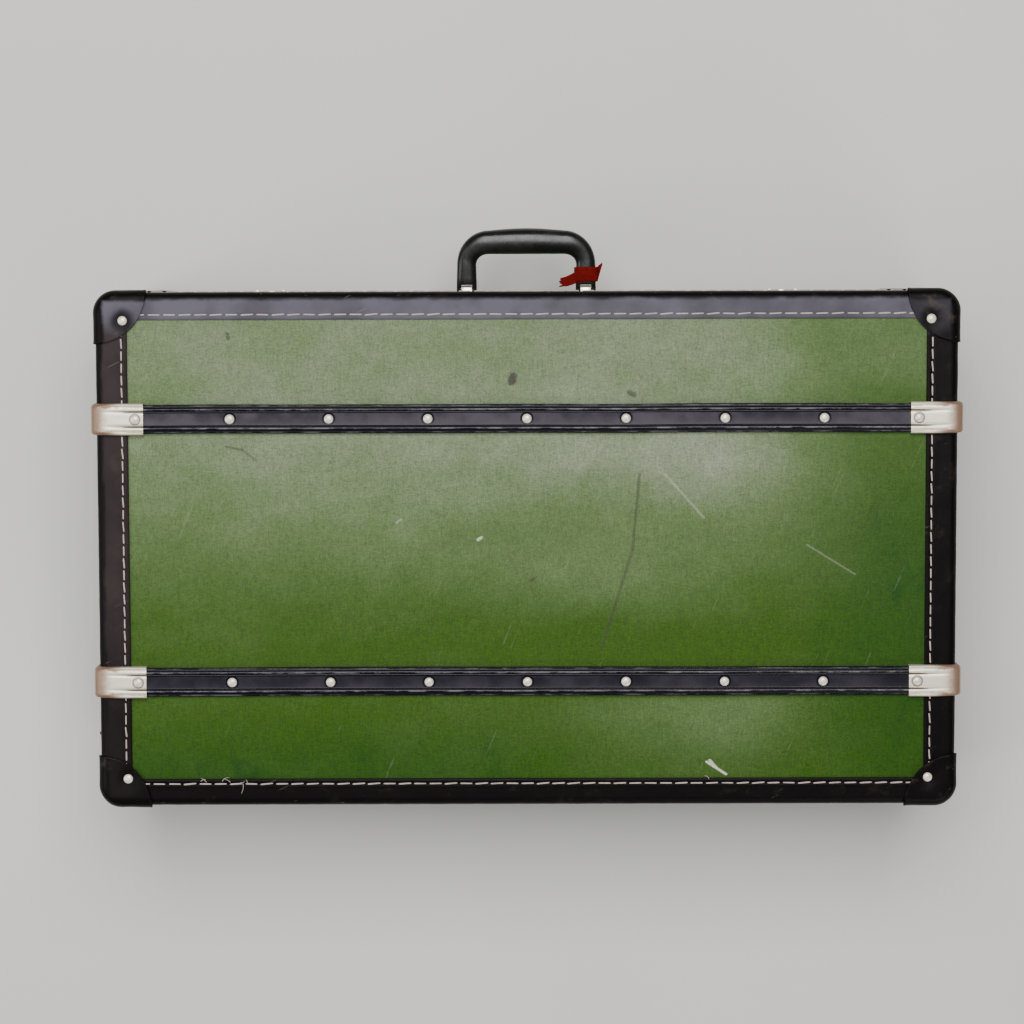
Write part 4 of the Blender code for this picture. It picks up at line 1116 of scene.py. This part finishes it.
def fade_and_sheen_of_panel(centred):
    """Share of paling over a face, part bleached fibre and part painted sheen: most across the upper middle, least
    by the right and lower edges.
    """
    x, y, _ = split(centred)
    # Painted sheen: the face pales towards the upper edge, where the light falls.
    rise = remap(y, -0.10, 0.10, 0.0, 0.6)
    pool = near(x, 0.04, 0.02, 0.17, 0.17) * near(y, -0.022, 0.0, 0.05)
    crown = near(y, 0.085, 0.0, 0.06, 0.22) * near(x, 0.08, 0.0, 0.2, 1.0, 0.35)
    patch = remap(y, -0.125, -0.135, 0.0, 0.16) * near(x, 0.16, 0.02, 0.2, 1.9, 0.1)
    patch = patch * remap(y, -0.2, -0.14, 0.25)
    right = larger(remap(x, 0.17, 0.34, 1.0, 0.1), remap(y, 0.12, 0.16, 0.0, 0.5))
    left = remap(x, -0.37, -0.2, 0.84)
    base = (rise + pool + crown + patch) * right * left
    broad = cloud(stretched(centred, (1.0, 1.6, 1.0), 0.35), 7.0, 3.0, 0.5) - 0.5
    small = cloud(stretched(centred, (1.0, 1.4, 1.0), -0.3), 24.0, 6.0, 0.7) - 0.5
    return (base + (broad * 0.9 + small * 0.75) * (base * 0.75 + 0.22)).clamped()


def make_green(colors):
    """Fibre board with a woven surface, bleached in patches and marked by use, with a painted sheen towards the
    upper edge and painted shade towards the lower.
    """
    made, shader, at = new_surface("green_fibre", 0.5, specular=0.22)
    centred = from_middle(at)
    x, y, _ = split(centred)
    fade = fade_and_sheen_of_panel(centred)
    tint = blend_color(remap(fade, 0.0, 0.4, shape="LINEAR"), colors.green_fresh, colors.green_worn)
    tint = blend_color(remap(fade, 0.4, 1.0, shape="LINEAR"), tint, colors.green_faded)
    patchy = remap(cloud(stretched(centred, (1.0, 0.6, 1.0)), 30.0, 4.0, 0.65), 0.5, 0.72) * 0.55 + 0.65
    # Painted shade towards the lower edge; darker towards the right edge as well.
    lowest = remap(y, -0.2, -0.13, 0.6, 0.0) * remap(x, -0.1, 0.1, 1.0, 0.35)
    rightmost = remap(x, 0.2, 0.34, 0.0, 0.6) * remap(y, -0.02, 0.12, 1.0, 0.0)
    tint = blend_color(patchy * larger(lowest, rightmost), tint, DEEP_GREEN)
    weave = use_group("canvas_weave", at, Pitch=1.0 * MM)
    tint = blend_color(0.9, tint, grey(weave["Shade"] * 1.5 + 1.0), "MULTIPLY")
    for mark_x, mark_y, run_x, run_y, width, rough, strength, pale in GREEN_MARKS:
        mark = use_group("single_mark", centred, Start=(mark_x * MM, mark_y * MM, 0),
                         Run=(run_x * MM, run_y * MM, 0), Width=width * MM, Rough=rough)["Mask"]
        tint = blend_color(mark * strength, tint, MARK_INKS[pale])
    tint = scuffed(at, tint, 0.07, PALE_SCUFF, Turn=0.4, Fineness=380.0, Amount=0.08)
    feed(shader, base_color=tint, roughness=fade * 0.2 + 0.38)
    bump(shader, weave["Height"], 0.12 * MM, 0.6)
    return made


def make_leather(colors, name, cells, wear, top_right, start):
    """Coated leather: black folds, a painted sheen on the face along the handle side, painted light on the left,
    painted shade round the corner rivets.
    """
    made, shader, at = new_surface(name, 0.42, specular=0.1)
    x, y, _ = split(from_middle(at))
    inset = smaller(HALF_X - abs(x), HALF_Y - abs(y))
    uneven = (cloud(at, 45.0, 5.0, 0.6) - 0.5) * (6 * MM)
    face = remap(inset + uneven, start, start + 4 * MM)
    patchy = remap(cloud(at, 22.0, 4.0), 0.3, 0.7, 0.65, 1.1)
    # Painted light: the left strip is lighter and browner, as lit from the left.
    left = remap(x, -0.36, -0.33, 1.0, 0.0) * remap(y, -0.19, 0.0, 0.25)
    # Painted sheen along the handle side, less towards the right.
    top = remap(y, 0.184, 0.204) * remap(x, -0.34, 0.34, 1.0, top_right)
    sheen_mask = (top * face * patchy).clamped()
    tint = blend_color((left * face * patchy).clamped(), colors.leather, colors.leather_lit_left)
    tint = blend_color(sheen_mask, tint, colors.leather_sheen)
    # Painted shade: the leather darkens round each corner rivet, where its dimple would shade it.
    rivet = rivet_inset(HALVES[0], "rear_right")
    from_rivet = distance(abs(x) - (HALF_X - rivet), abs(y) - (HALF_Y - rivet)) + uneven * 1.2
    tint = blend_color(remap(from_rivet, 4.5 * MM, 14 * MM, 0.9, 0.0), tint, colors.leather)
    grain = use_group("leather_grain", at, Cells=cells)
    tint = blend_color(grain["Worn"] * wear, tint, WORN_LEATHER)
    tint = scuffed(at, tint, 0.3, LEATHER_SCUFF, Turn=1.1, Fineness=500.0, Amount=0.06)
    feed(shader, base_color=tint, roughness=sheen_mask * 0.15 + 0.38)
    bump(shader, grain["Height"], 0.1 * MM, 0.55)
    return made


def from_slats(y):
    """Distance from the nearer slat's middle line."""
    middles = [(low.y + high.y) / 2 for low, high in (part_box(f"lid_{name}_slat") for name in PLACES)]
    return smaller(*(abs(y - middle) for middle in middles))


def round_rivet(across, along, radius, inside, outside):
    """One number within a radius and another beyond it, with a soft edge."""
    return remap(distance(across, along), radius - 1.2 * MM, radius, inside, outside)


def make_slat_surface(colors):
    """Lacquered strip: ribs pale on their crests from wear and a painted highlight, a dusty flat middle, a painted
    shadow ring round its rivets.
    """
    made, shader, at = new_surface("slat_lacquer", 0.3, specular=0.2)
    x, y, _ = split(at)
    away = from_slats(y)
    crest = near(away, 8.1 * MM, 0.3 * MM, 1.0 * MM)
    outer = near(away, 11.5 * MM, 0.2 * MM, 0.7 * MM)
    breaks = remap(cloud(stretched(at, (0.35, 1.0, 1.0)), 160.0, 4.0, 0.7), 0.42, 0.66)
    dust = remap(away, 4.9 * MM, 5.5 * MM, 1.0, 0.0) * remap(cloud(at, 40.0, 4.0), 0.3, 0.75, 0.3)
    # Paler on the upper slat, darker on the lower.
    dust = dust * remap(y, CENTRE_Y - 0.06, CENTRE_Y + 0.06, 0.45)
    # Painted shadow: the dust stops short of each rivet, leaving a dark ring round it.
    dust = dust * round_rivet(x.math("WRAP", RIVET_PITCH / 2, -RIVET_PITCH / 2), away, 6.5 * MM, 0.0, 1.0)
    tint = blend_color(dust * 0.7, colors.slat, SLAT_DUST)
    # Painted highlight along the rib crests, broken up like rubbed wear.
    tint = blend_color(larger(crest, outer * 0.7) * breaks * 0.45, tint, SLAT_CREST_WEAR_AND_HIGHLIGHT)
    feed(shader, base_color=tint, roughness=dust * 0.25 + 0.26)
    bump(shader, cloud(stretched(at, (0.1, 1.0, 1.0)), 900.0, 2.0), 0.05 * MM, 0.4)
    return made


def make_metal(colors, name, amount, roughness, shine=0.9, rims=False):
    """Nickel plate with brown bloom and fine polish lines; rims give the shoes painted brown shade along their
    borders, painted shade in their grooves and a painted warm reflection in the middle.
    """
    made, shader, at = new_surface(name, roughness, metallic=1.0)
    plating = use_group("plating_bloom", at, Amount=amount)
    bloom, tint = plating["Bloom"], colors.nickel
    if rims:
        # Painted shade and reflection on the shoes: brown along borders and bend, also taken into the bloom, dark
        # in grooves and round the rivet.
        edge_shade, groove_shade = shoe_shade_masks(at)
        bloom = larger(bloom, edge_shade) * 0.45
        tint = blend_color(groove_shade, blend_color(edge_shade, SHOE_PLATE_AND_REFLECTION, SHOE_EDGE_SHADE), SHOE_GROOVE_SHADE)
    tint = blend_color(bloom * 0.85, tint, colors.tarnish)
    feed(shader, base_color=tint, roughness=bloom * 0.2 + roughness, metallic=shine - bloom * 0.25)
    bump(shader, plating["Lines"], 0.03 * MM, 0.35)
    return made


def shoe_shade_masks(at):
    """(painted brown shade along a shoe's long edges and round its bend, painted shade in its grooves and round
    its rivet).
    """
    x, y, _ = split(at)
    away, reach = from_slats(y), abs(x)
    uneven = (cloud(at, 200.0, 5.0, 0.7) - 0.5) * (7 * MM)
    ragged = reach + uneven
    skirt = remap(away + uneven, 8.6 * MM, 11.6 * MM) * remap(reach, HALF_X - 26 * MM, HALF_X - 8 * MM, 0.3)
    groove = near(away, 6.6 * MM, 0.3 * MM, 1.2 * MM)
    groove = groove * remap(ragged, HALF_X - 35 * MM, HALF_X - 7 * MM, 0.95, 0.0)
    seat = round_rivet(reach - SHOE_RIVET_X, away, 5.7 * MM, 0.8, 0.0)
    bend = remap(ragged, HALF_X - 13 * MM, HALF_X - 1 * MM, 0.0, 0.85)
    bend = bend * remap(reach, HALF_X + 2 * MM, HALF_X + 4 * MM, 1.0, 0.4)
    return larger(skirt * 0.9, bend), larger(groove, seat)


def make_handle_surface(colors):
    """Glossy moulded grip, finger-worn in soft patches."""
    made, shader, at = new_surface("handle_gloss", 0.25)
    rubbed = remap(cloud(at, 45.0, 4.0, 0.6), 0.45, 0.7)
    feed(shader, base_color=blend_color(rubbed * 0.5, colors.handle, HANDLE_RUBBED),
         roughness=rubbed * 0.12 + 0.26)
    bump(shader, use_group("leather_grain", at, Cells=650.0)["Height"], 0.05 * MM, 0.25)
    return made


def make_cloth(name, dye, pitch, roughness):
    """Plain woven cloth or thread in one dye, uneven in tone."""
    made, shader, at = new_surface(name, roughness, specular=0.15)
    weave = use_group("canvas_weave", at, Pitch=pitch)
    tint = blend_color(1.0, dye, grey(weave["Shade"] * 1.4 + 0.9), "MULTIPLY")
    soiled = remap(cloud(at, 70.0, 4.0, 0.6), 0.45, 0.75)
    feed(shader, base_color=blend_color(soiled * 0.35, tint, [0.35 * part for part in dye]))
    bump(shader, weave["Height"], pitch * 0.3, 0.8)
    return made


def make_paper(colors):
    """Lining paper printed with a faint check."""
    made, shader, at = new_surface("lining_paper", 0.85)
    waves = (abs((part * (math.pi / CHECK_PITCH)).math("SINE")) for part in split(from_middle(at)))
    x, y, z = (remap(wave, 0.90, 0.96) for wave in waves)
    aged = remap(cloud(at, 9.0, 5.0, 0.6), 0.35, 0.7)
    tint = blend_color(aged * 0.45, colors.lining, PAPER_AGED)
    tint = blend_color(larger(larger(x, y), z * 0.6) * 0.4, tint, PAPER_CHECK)
    feed(shader, base_color=tint)
    bump(shader, cloud(at, 1200.0, 3.0), 0.05 * MM, 0.3)
    return made


def make_floor_surface(colors):
    """Studio floor, a shade uneven."""
    made, shader, at = new_surface("studio_floor", 0.75)
    tone = remap(cloud(at, 2.0, 3.0), 0.3, 0.7)
    feed(shader, base_color=blend_color(tone, colors.floor, [0.97 * part for part in colors.floor]))
    return made


def finishes():
    """Builds every material once, under the name of its finish."""
    found = {made["finish"]: made for made in bpy.data.materials if made.get("finish")}
    if found:
        return found
    for made in list(bpy.data.materials):
        made.name = f"plain_{made.name}"
    for build in (build_weave_group, build_mark_group, build_scratch_group, build_grain_group,
                  build_tarnish_group):
        build()
    colors = bpy.context.scene.suitcase_colors
    found = {
        "green": make_green(colors),
        "leather": make_leather(colors, "binding_leather", 950.0, 0.12, 0.95, 4.5 * MM),
        "cap": make_leather(colors, "cap_leather", 700.0, 0.4, 0.25, 6 * MM),
        "slat": make_slat_surface(colors),
        "nickel": make_metal(colors, "worn_nickel", 0.2, 0.3),
        "rivet": make_metal(colors, "bright_nickel", 0.05, 0.35, shine=0.35),
        "shoe": make_metal(colors, "rubbed_nickel", 0.3, 0.42, shine=0.5, rims=True),
        "steel": make_metal(colors, "dull_steel", 0.6, 0.4),
        "handle": make_handle_surface(colors),
        "thread": make_cloth("sewing_thread", colors.thread, 0.35 * MM, 0.8),
        "ribbon": make_cloth("red_cloth", colors.ribbon, 0.5 * MM, 0.75),
        "paper": make_paper(colors),
        "floor": make_floor_surface(colors),
    }
    for finish, made in found.items():
        made["finish"] = finish
    return found


# ---- operators, one for each group of pieces ----

class SuitcaseOperator:
    bl_options = {"REGISTER", "UNDO"}


class SUITCASE_OT_shells(SuitcaseOperator, bpy.types.Operator):
    """Build the two green shells"""

    bl_idname = "suitcase.shells"
    bl_label = "Shells"

    def execute(self, context):
        sizes = context.scene.suitcase_sizes
        for half in HALVES:
            name = f"{half.name}_shell"
            shell = make_tray(f"{name}_fibre", half, SHELL_OFFSET, sizes.shell_wall, half.rim_depth,
                              sizes.panel_wave, finishes()["green"])
            place(shell, half.name, "green_fibre", name)
        return {"FINISHED"}


class SUITCASE_OT_linings(SuitcaseOperator, bpy.types.Operator):
    """Build the paper linings and finish the seam tongue"""

    bl_idname = "suitcase.linings"
    bl_label = "Linings and tongue"

    def execute(self, context):
        for half in HALVES:
            name = f"{half.name}_lining"
            low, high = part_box(name)
            reach = abs(half.inner(low, high) - half.face_z)
            lining = make_tray(f"{name}_paper", half, LINING_OFFSET, LINING_WALL, reach, 0.0,
                               finishes()["paper"])
            place(lining, half.name, "lining_paper", name)
        softened("base_rim_tongue", 0.3 * MM, finishes()["steel"], "tongue_metal")
        return {"FINISHED"}


class SUITCASE_OT_bindings(SuitcaseOperator, bpy.types.Operator):
    """Build the leather bindings with their sewn grooves"""

    bl_idname = "suitcase.bindings"
    bl_label = "Bindings"

    def execute(self, context):
        for half in HALVES:
            name = f"{half.name}_edge_binding"
            bm = bmesh.new()
            add_rows(bm, binding_rows(half), closed=True)
            bmesh.ops.recalc_face_normals(bm, faces=bm.faces)
            strip = new_object(f"{name}_leather", bm, finishes()["leather"])
            strip.data.set_sharp_from_angle(angle=math.radians(60))
            place(strip, half.name, "black_leather", name)
        return {"FINISHED"}


class SUITCASE_OT_stitches(SuitcaseOperator, bpy.types.Operator):
    """Sew both rows of stitches round each half"""

    bl_idname = "suitcase.stitches"
    bl_label = "Stitches"

    def execute(self, context):
        sizes = context.scene.suitcase_sizes
        seam = BINDING_WIDTH - sizes.stitch_inset
        radius = sizes.corner_radius
        sides = (("long", (0, 1), 2 * (HALF_X - radius), sizes.stitches_long),
                 ("short", (1, 0), 2 * (HALF_Y - radius), sizes.stitches_short))
        sunk = sizes.stitch_groove - sizes.thread_radius * 0.2
        rows = (("face", seam, sunk, 1.0), ("side", -0.4 * MM, seam, 1.2))
        for row, inset, depth, thicker in rows:
            for side, (out_x, out_y), run, count in sides:
                pitch = run / count
                item = stitch("stitch_item", pitch * 0.98, sizes.thread_radius * thicker)
                reach = (run - pitch) / 2
                inset_y = long_side_inset(inset) if row == "face" else inset
                for half in HALVES:
                    guide = []
                    for way in (-1, 1):
                        up = (0, 0, half.out) if row == "face" else (out_x * way, out_y * way, 0)
                        ends = [(way * out_x * (HALF_X - inset) + out_y * end * reach,
                                 CENTRE_Y + way * out_y * (HALF_Y - inset_y) + out_x * end * reach,
                                 half.z(depth))
                                for end in (-1, 1)]
                        guide.append([(point, up) for point in ends])
                    sewn = repeat_item(f"{half.name}_{row}_stitches_{side}", "repeat_along_lines", guide,
                                       item, finishes()["thread"], pitch * 0.999, turn=math.radians(4),
                                       spread=0.05)
                    place(sewn, half.name, "black_leather")
                bpy.data.objects.remove(item)
        return {"FINISHED"}


LOOSE_THREADS = (
    # start x and y in mm from the middle, direction in degrees, length in mm, bend in degrees
    (-287, -203, 50, 5, -30), (-282, -204, 115, 6, 25), (-268, -203, 70, 7, -40), (-261, -204, 120, 6, 30),
    (-250, -205, -75, 9, -25), (-252, -204, -20, 4, 40), (-246, -205, 80, 4, 30), (159, -202, 100, 5, 40),
)
TORN_NIB = ((-0.5, 0.0), (0.6, 0.6), (1.4, 1.8), (1.2, 3.2))    # past the left edge and along it, mm
NIB_FROM_MIDDLE = 160


def add_strand(bm, points, radius):
    """A thin round thread through points, tapered at its tip."""
    rows = []
    for number, point in enumerate(points):
        ahead = (points[min(number + 1, len(points) - 1)] - points[max(number - 1, 0)]).normalized()
        across = ahead.cross(Vector((0, 0, 1))).normalized()
        over = across.cross(ahead)
        thick = radius * (1 - 0.6 * number / len(points))
        rows.append([point + (across * math.cos(a) + over * math.sin(a)) * thick
                     for a in (2 * math.pi * n / 6 for n in range(6))])
    add_capped(bm, rows)


class SUITCASE_OT_threads(SuitcaseOperator, bpy.types.Operator):
    """Lay the torn thread ends by the front corner and the torn nib on the left edge"""

    bl_idname = "suitcase.threads"
    bl_label = "Loose threads"

    def execute(self, context):
        half = HALVES[0]
        bm = bmesh.new()
        for x, y, turn, run, curl in LOOSE_THREADS:
            points = []
            for k in range(9):
                share = k / 8
                angle = math.radians(turn + curl * share)
                points.append(Vector(((x + run * share * math.cos(angle)) * MM,
                                      CENTRE_Y + (y + run * share * math.sin(angle)) * MM,
                                      half.z(0) + (0.35 + 1.3 * math.sin(2.6 * share)) * MM)))
            add_strand(bm, points, 0.32 * MM)
        bmesh.ops.recalc_face_normals(bm, faces=bm.faces)
        place(new_object("lid_loose_threads", bm, finishes()["thread"]), "lid", "black_leather")
        bm = bmesh.new()
        nib = [Vector((-HALF_X - reach * MM, CENTRE_Y - (NIB_FROM_MIDDLE + along) * MM, half.z(12 * MM)))
               for reach, along in TORN_NIB]
        add_strand(bm, nib, 0.8 * MM)
        bmesh.ops.recalc_face_normals(bm, faces=bm.faces)
        place(new_object("lid_torn_nib", bm, finishes()["leather"]), "lid", "black_leather")
        return {"FINISHED"}


class SUITCASE_OT_caps(SuitcaseOperator, bpy.types.Operator):
    """Press the eight corner caps"""

    bl_idname = "suitcase.caps"
    bl_label = "Corner caps"

    def execute(self, context):
        for half in HALVES:
            for corner, side_x, side_y in CORNERS:
                make_cap(half, corner, side_x, side_y, finishes()["cap"])
        return {"FINISHED"}


class SUITCASE_OT_slats(SuitcaseOperator, bpy.types.Operator):
    """Build the ribbed slats and their metal shoes"""

    bl_idname = "suitcase.slats"
    bl_label = "Slats and shoes"

    def execute(self, context):
        for half in HALVES:
            for place_name in PLACES:
                make_slat(half, place_name, finishes()["slat"])
                for side_name, side in SIDES:
                    make_shoe(half, place_name, side_name, side, finishes()["shoe"])
        return {"FINISHED"}


class SUITCASE_OT_rivets(SuitcaseOperator, bpy.types.Operator):
    """Set the domed rivets of slats, shoes and corner caps"""

    bl_idname = "suitcase.rivets"
    bl_label = "Rivets"

    def execute(self, context):
        sizes = context.scene.suitcase_sizes
        item = dome("rivet_item", sizes.rivet_radius, sizes.rivet_height)
        for half in HALVES:
            up = (0, 0, half.out)
            guide, nodes = [], []
            for place_name in PLACES:
                node = f"{half.name}_{place_name}_slat_rivets"
                low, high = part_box(node)
                slat_low, slat_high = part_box(f"{half.name}_{place_name}_slat")
                top = half.outer(slat_low, slat_high)
                shoe_top = half.face_z + half.out * (SHOE_PROUD - 0.1 * MM)
                middle_y = (low.y + high.y) / 2
                nodes.append(node)
                for number in range(-3, 4):
                    guide.append(((number * RIVET_PITCH, middle_y, top), up))
                for _, side in SIDES:
                    guide.append(((side * SHOE_RIVET_X, middle_y, shoe_top), up))
            for corner, side_x, side_y in CORNERS:
                node = f"{half.name}_corner_rivet_{corner}"
                low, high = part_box(node)
                nodes.append(node)
                face = half.face_z + half.out * (CAP_PROUD - sizes.cap_dimple * 0.8)
                guide.append((((low.x + high.x) / 2, (low.y + high.y) / 2, face), up))
            heads = repeat_item(f"{half.name}_rivet_heads", "repeat_at_points", guide, item,
                                finishes()["rivet"], turn=math.pi, spread=0.03)
            place(heads, half.name, "nickel", *nodes)
        bpy.data.objects.remove(item)
        return {"FINISHED"}


class SUITCASE_OT_handle(SuitcaseOperator, bpy.types.Operator):
    """Mould the handle and finish its brackets and pins"""

    bl_idname = "suitcase.handle"
    bl_label = "Handle"

    def execute(self, context):
        make_handle(finishes()["handle"])
        for side_name, _ in SIDES:
            softened(f"handle_bracket_{side_name}", 0.3 * MM, finishes()["nickel"], "nickel")
            softened(f"handle_pin_{side_name}", 0.25 * MM, finishes()["nickel"], "nickel")
        return {"FINISHED"}


class SUITCASE_OT_ribbon(SuitcaseOperator, bpy.types.Operator):
    """Wind the scrap of red ribbon round the handle's right leg"""

    bl_idname = "suitcase.ribbon"
    bl_label = "Ribbon"

    def execute(self, context):
        make_ribbon(finishes()["ribbon"])
        return {"FINISHED"}


HARDWARE = (
    # node, edge radius in mm
    ("latch_plate", 0.25), ("latch_hasp", 0.25), ("latch_catch", 0.25), ("latch_button", 0.4),
    ("hinge_leaf_base", 0.2), ("hinge_leaf_lid", 0.2), ("hinge_pin", 0.2),
)
RIVETED_PLATES = (
    # body, node, how far rivets lie in from its corners along x and z, plate thickness; in mm
    ("base", "latch_plate", 2.6, 3.2, 1.0), ("lid", "latch_catch", 2.4, 2.6, 1.0),
    ("base", "hinge_leaf_base", 6.0, 6.0, 1.0), ("lid", "hinge_leaf_lid", 6.0, 6.0, 1.0),
    ("base", "handle_bracket", 3.0, 3.0, 1.2),
)


class SUITCASE_OT_hardware(SuitcaseOperator, bpy.types.Operator):
    """Finish the latches and hinges and set their small rivets"""

    bl_idname = "suitcase.hardware"
    bl_label = "Latches and hinges"

    def execute(self, context):
        for side_name, _ in SIDES:
            for node, width in HARDWARE:
                softened(f"{node}_{side_name}", width * MM, finishes()["steel"], "nickel")
        item = dome("small_rivet_item", context.scene.suitcase_sizes.small_rivet_radius, 0.7 * MM, 0.1 * MM)
        wall_y = HALF_Y - SHELL_OFFSET + 0.3 * MM
        guides = {"base": [], "lid": []}
        for side_name, _ in SIDES:
            for body, node, in_x, in_z, thick in RIVETED_PLATES:
                low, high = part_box(f"{node}_{side_name}")
                outward = 1 if low.y > CENTRE_Y else -1
                y = CENTRE_Y + outward * (wall_y + thick * MM)
                guides[body] += [((x, y, z), (0, outward, 0)) for x in (low.x + in_x * MM, high.x - in_x * MM)
                                 for z in (low.z + in_z * MM, high.z - in_z * MM)]
        for body, guide in guides.items():
            heads = repeat_item(f"{body}_small_rivets", "repeat_at_points", guide, item, finishes()["nickel"],
                                turn=math.pi)
            place(heads, body, "nickel")
        bpy.data.objects.remove(item)
        return {"FINISHED"}


LIGHTS = (
    # name, place, what it points at, size, power
    ("key_light", (0.0, 1.15, 2.95), (0.0, 0.25, 0.1), (1.9, 1.7), 92.0),
    ("side_light", (-2.1, -0.3, 1.9), (0.0, 0.0, 0.1), (1.4, 1.8), 26.0),
    ("front_light", (1.3, -2.2, 1.7), (0.0, -0.1, 0.1), (1.8, 1.2), 22.0),
)
SKY_COLOR, SKY_STRENGTH = (1.0, 0.985, 0.96, 1.0), 0.22
CAMERA_AT, CAMERA_TURN, FOCAL_LENGTH = (-0.0073, 0.1857, 2.5851), (-4.33, 0.13, -0.16), 96.2


def add_light(name, at, target, size, power):
    data = bpy.data.lights.new(name, "AREA")
    data.shape = "RECTANGLE"
    data.size, data.size_y = size
    data.energy = power
    lamp = bpy.data.objects.new(name, data)
    lamp.location = at
    lamp.rotation_euler = (Vector(target) - Vector(at)).to_track_quat("-Z", "Y").to_euler()
    bpy.context.scene.collection.objects.link(lamp)


class SUITCASE_OT_stage(SuitcaseOperator, bpy.types.Operator):
    """Lay the floor, hang the lights and set the camera"""

    bl_idname = "suitcase.stage"
    bl_label = "Stage"

    def execute(self, context):
        bm = bmesh.new()
        bmesh.ops.create_grid(bm, x_segments=1, y_segments=1, size=6.0)
        new_object("floor", bm, finishes()["floor"])
        for light in LIGHTS:
            add_light(*light)
        world = bpy.data.worlds.new("studio")
        world.use_nodes = True
        sky = world.node_tree.nodes["Background"]
        sky.inputs["Color"].default_value = SKY_COLOR
        sky.inputs["Strength"].default_value = SKY_STRENGTH
        context.scene.world = world
        lens = bpy.data.cameras.new("camera")
        lens.sensor_width = 36.0
        lens.lens = FOCAL_LENGTH
        lens.clip_end = 50.0
        camera = bpy.data.objects.new("camera", lens)
        camera.location = CAMERA_AT
        camera.rotation_euler = [math.radians(part) for part in CAMERA_TURN]
        context.scene.collection.objects.link(camera)
        context.scene.camera = camera
        return {"FINISHED"}


OPERATORS = (
    SUITCASE_OT_shells, SUITCASE_OT_linings, SUITCASE_OT_bindings, SUITCASE_OT_stitches, SUITCASE_OT_threads,
    SUITCASE_OT_caps, SUITCASE_OT_slats, SUITCASE_OT_rivets, SUITCASE_OT_handle, SUITCASE_OT_ribbon,
    SUITCASE_OT_hardware, SUITCASE_OT_stage,
)


class SUITCASE_PT_panel(bpy.types.Panel):
    """Lists the sizes, the colours and the pieces"""

    bl_idname = "SUITCASE_PT_panel"
    bl_label = "Fibre suitcase"
    bl_space_type = "VIEW_3D"
    bl_region_type = "UI"
    bl_category = "Suitcase"

    def draw(self, context):
        for group in (context.scene.suitcase_sizes, context.scene.suitcase_colors):
            column = self.layout.column()
            for name in group.__annotations__:
                column.prop(group, name)
        for operator in OPERATORS:
            self.layout.operator(operator.bl_idname)


CLASSES = (SuitcaseSizes, SuitcaseColors, *OPERATORS, SUITCASE_PT_panel)


def register():
    for one in CLASSES:
        bpy.utils.register_class(one)
    bpy.types.Scene.suitcase_sizes = PointerProperty(type=SuitcaseSizes)
    bpy.types.Scene.suitcase_colors = PointerProperty(type=SuitcaseColors)


def unregister():
    del bpy.types.Scene.suitcase_colors
    del bpy.types.Scene.suitcase_sizes
    for one in reversed(CLASSES):
        bpy.utils.unregister_class(one)


def main():
    register()
    for operator in OPERATORS:
        group, action = operator.bl_idname.split(".")
        getattr(getattr(bpy.ops, group), action)()


if __name__ == "__main__":
    main()
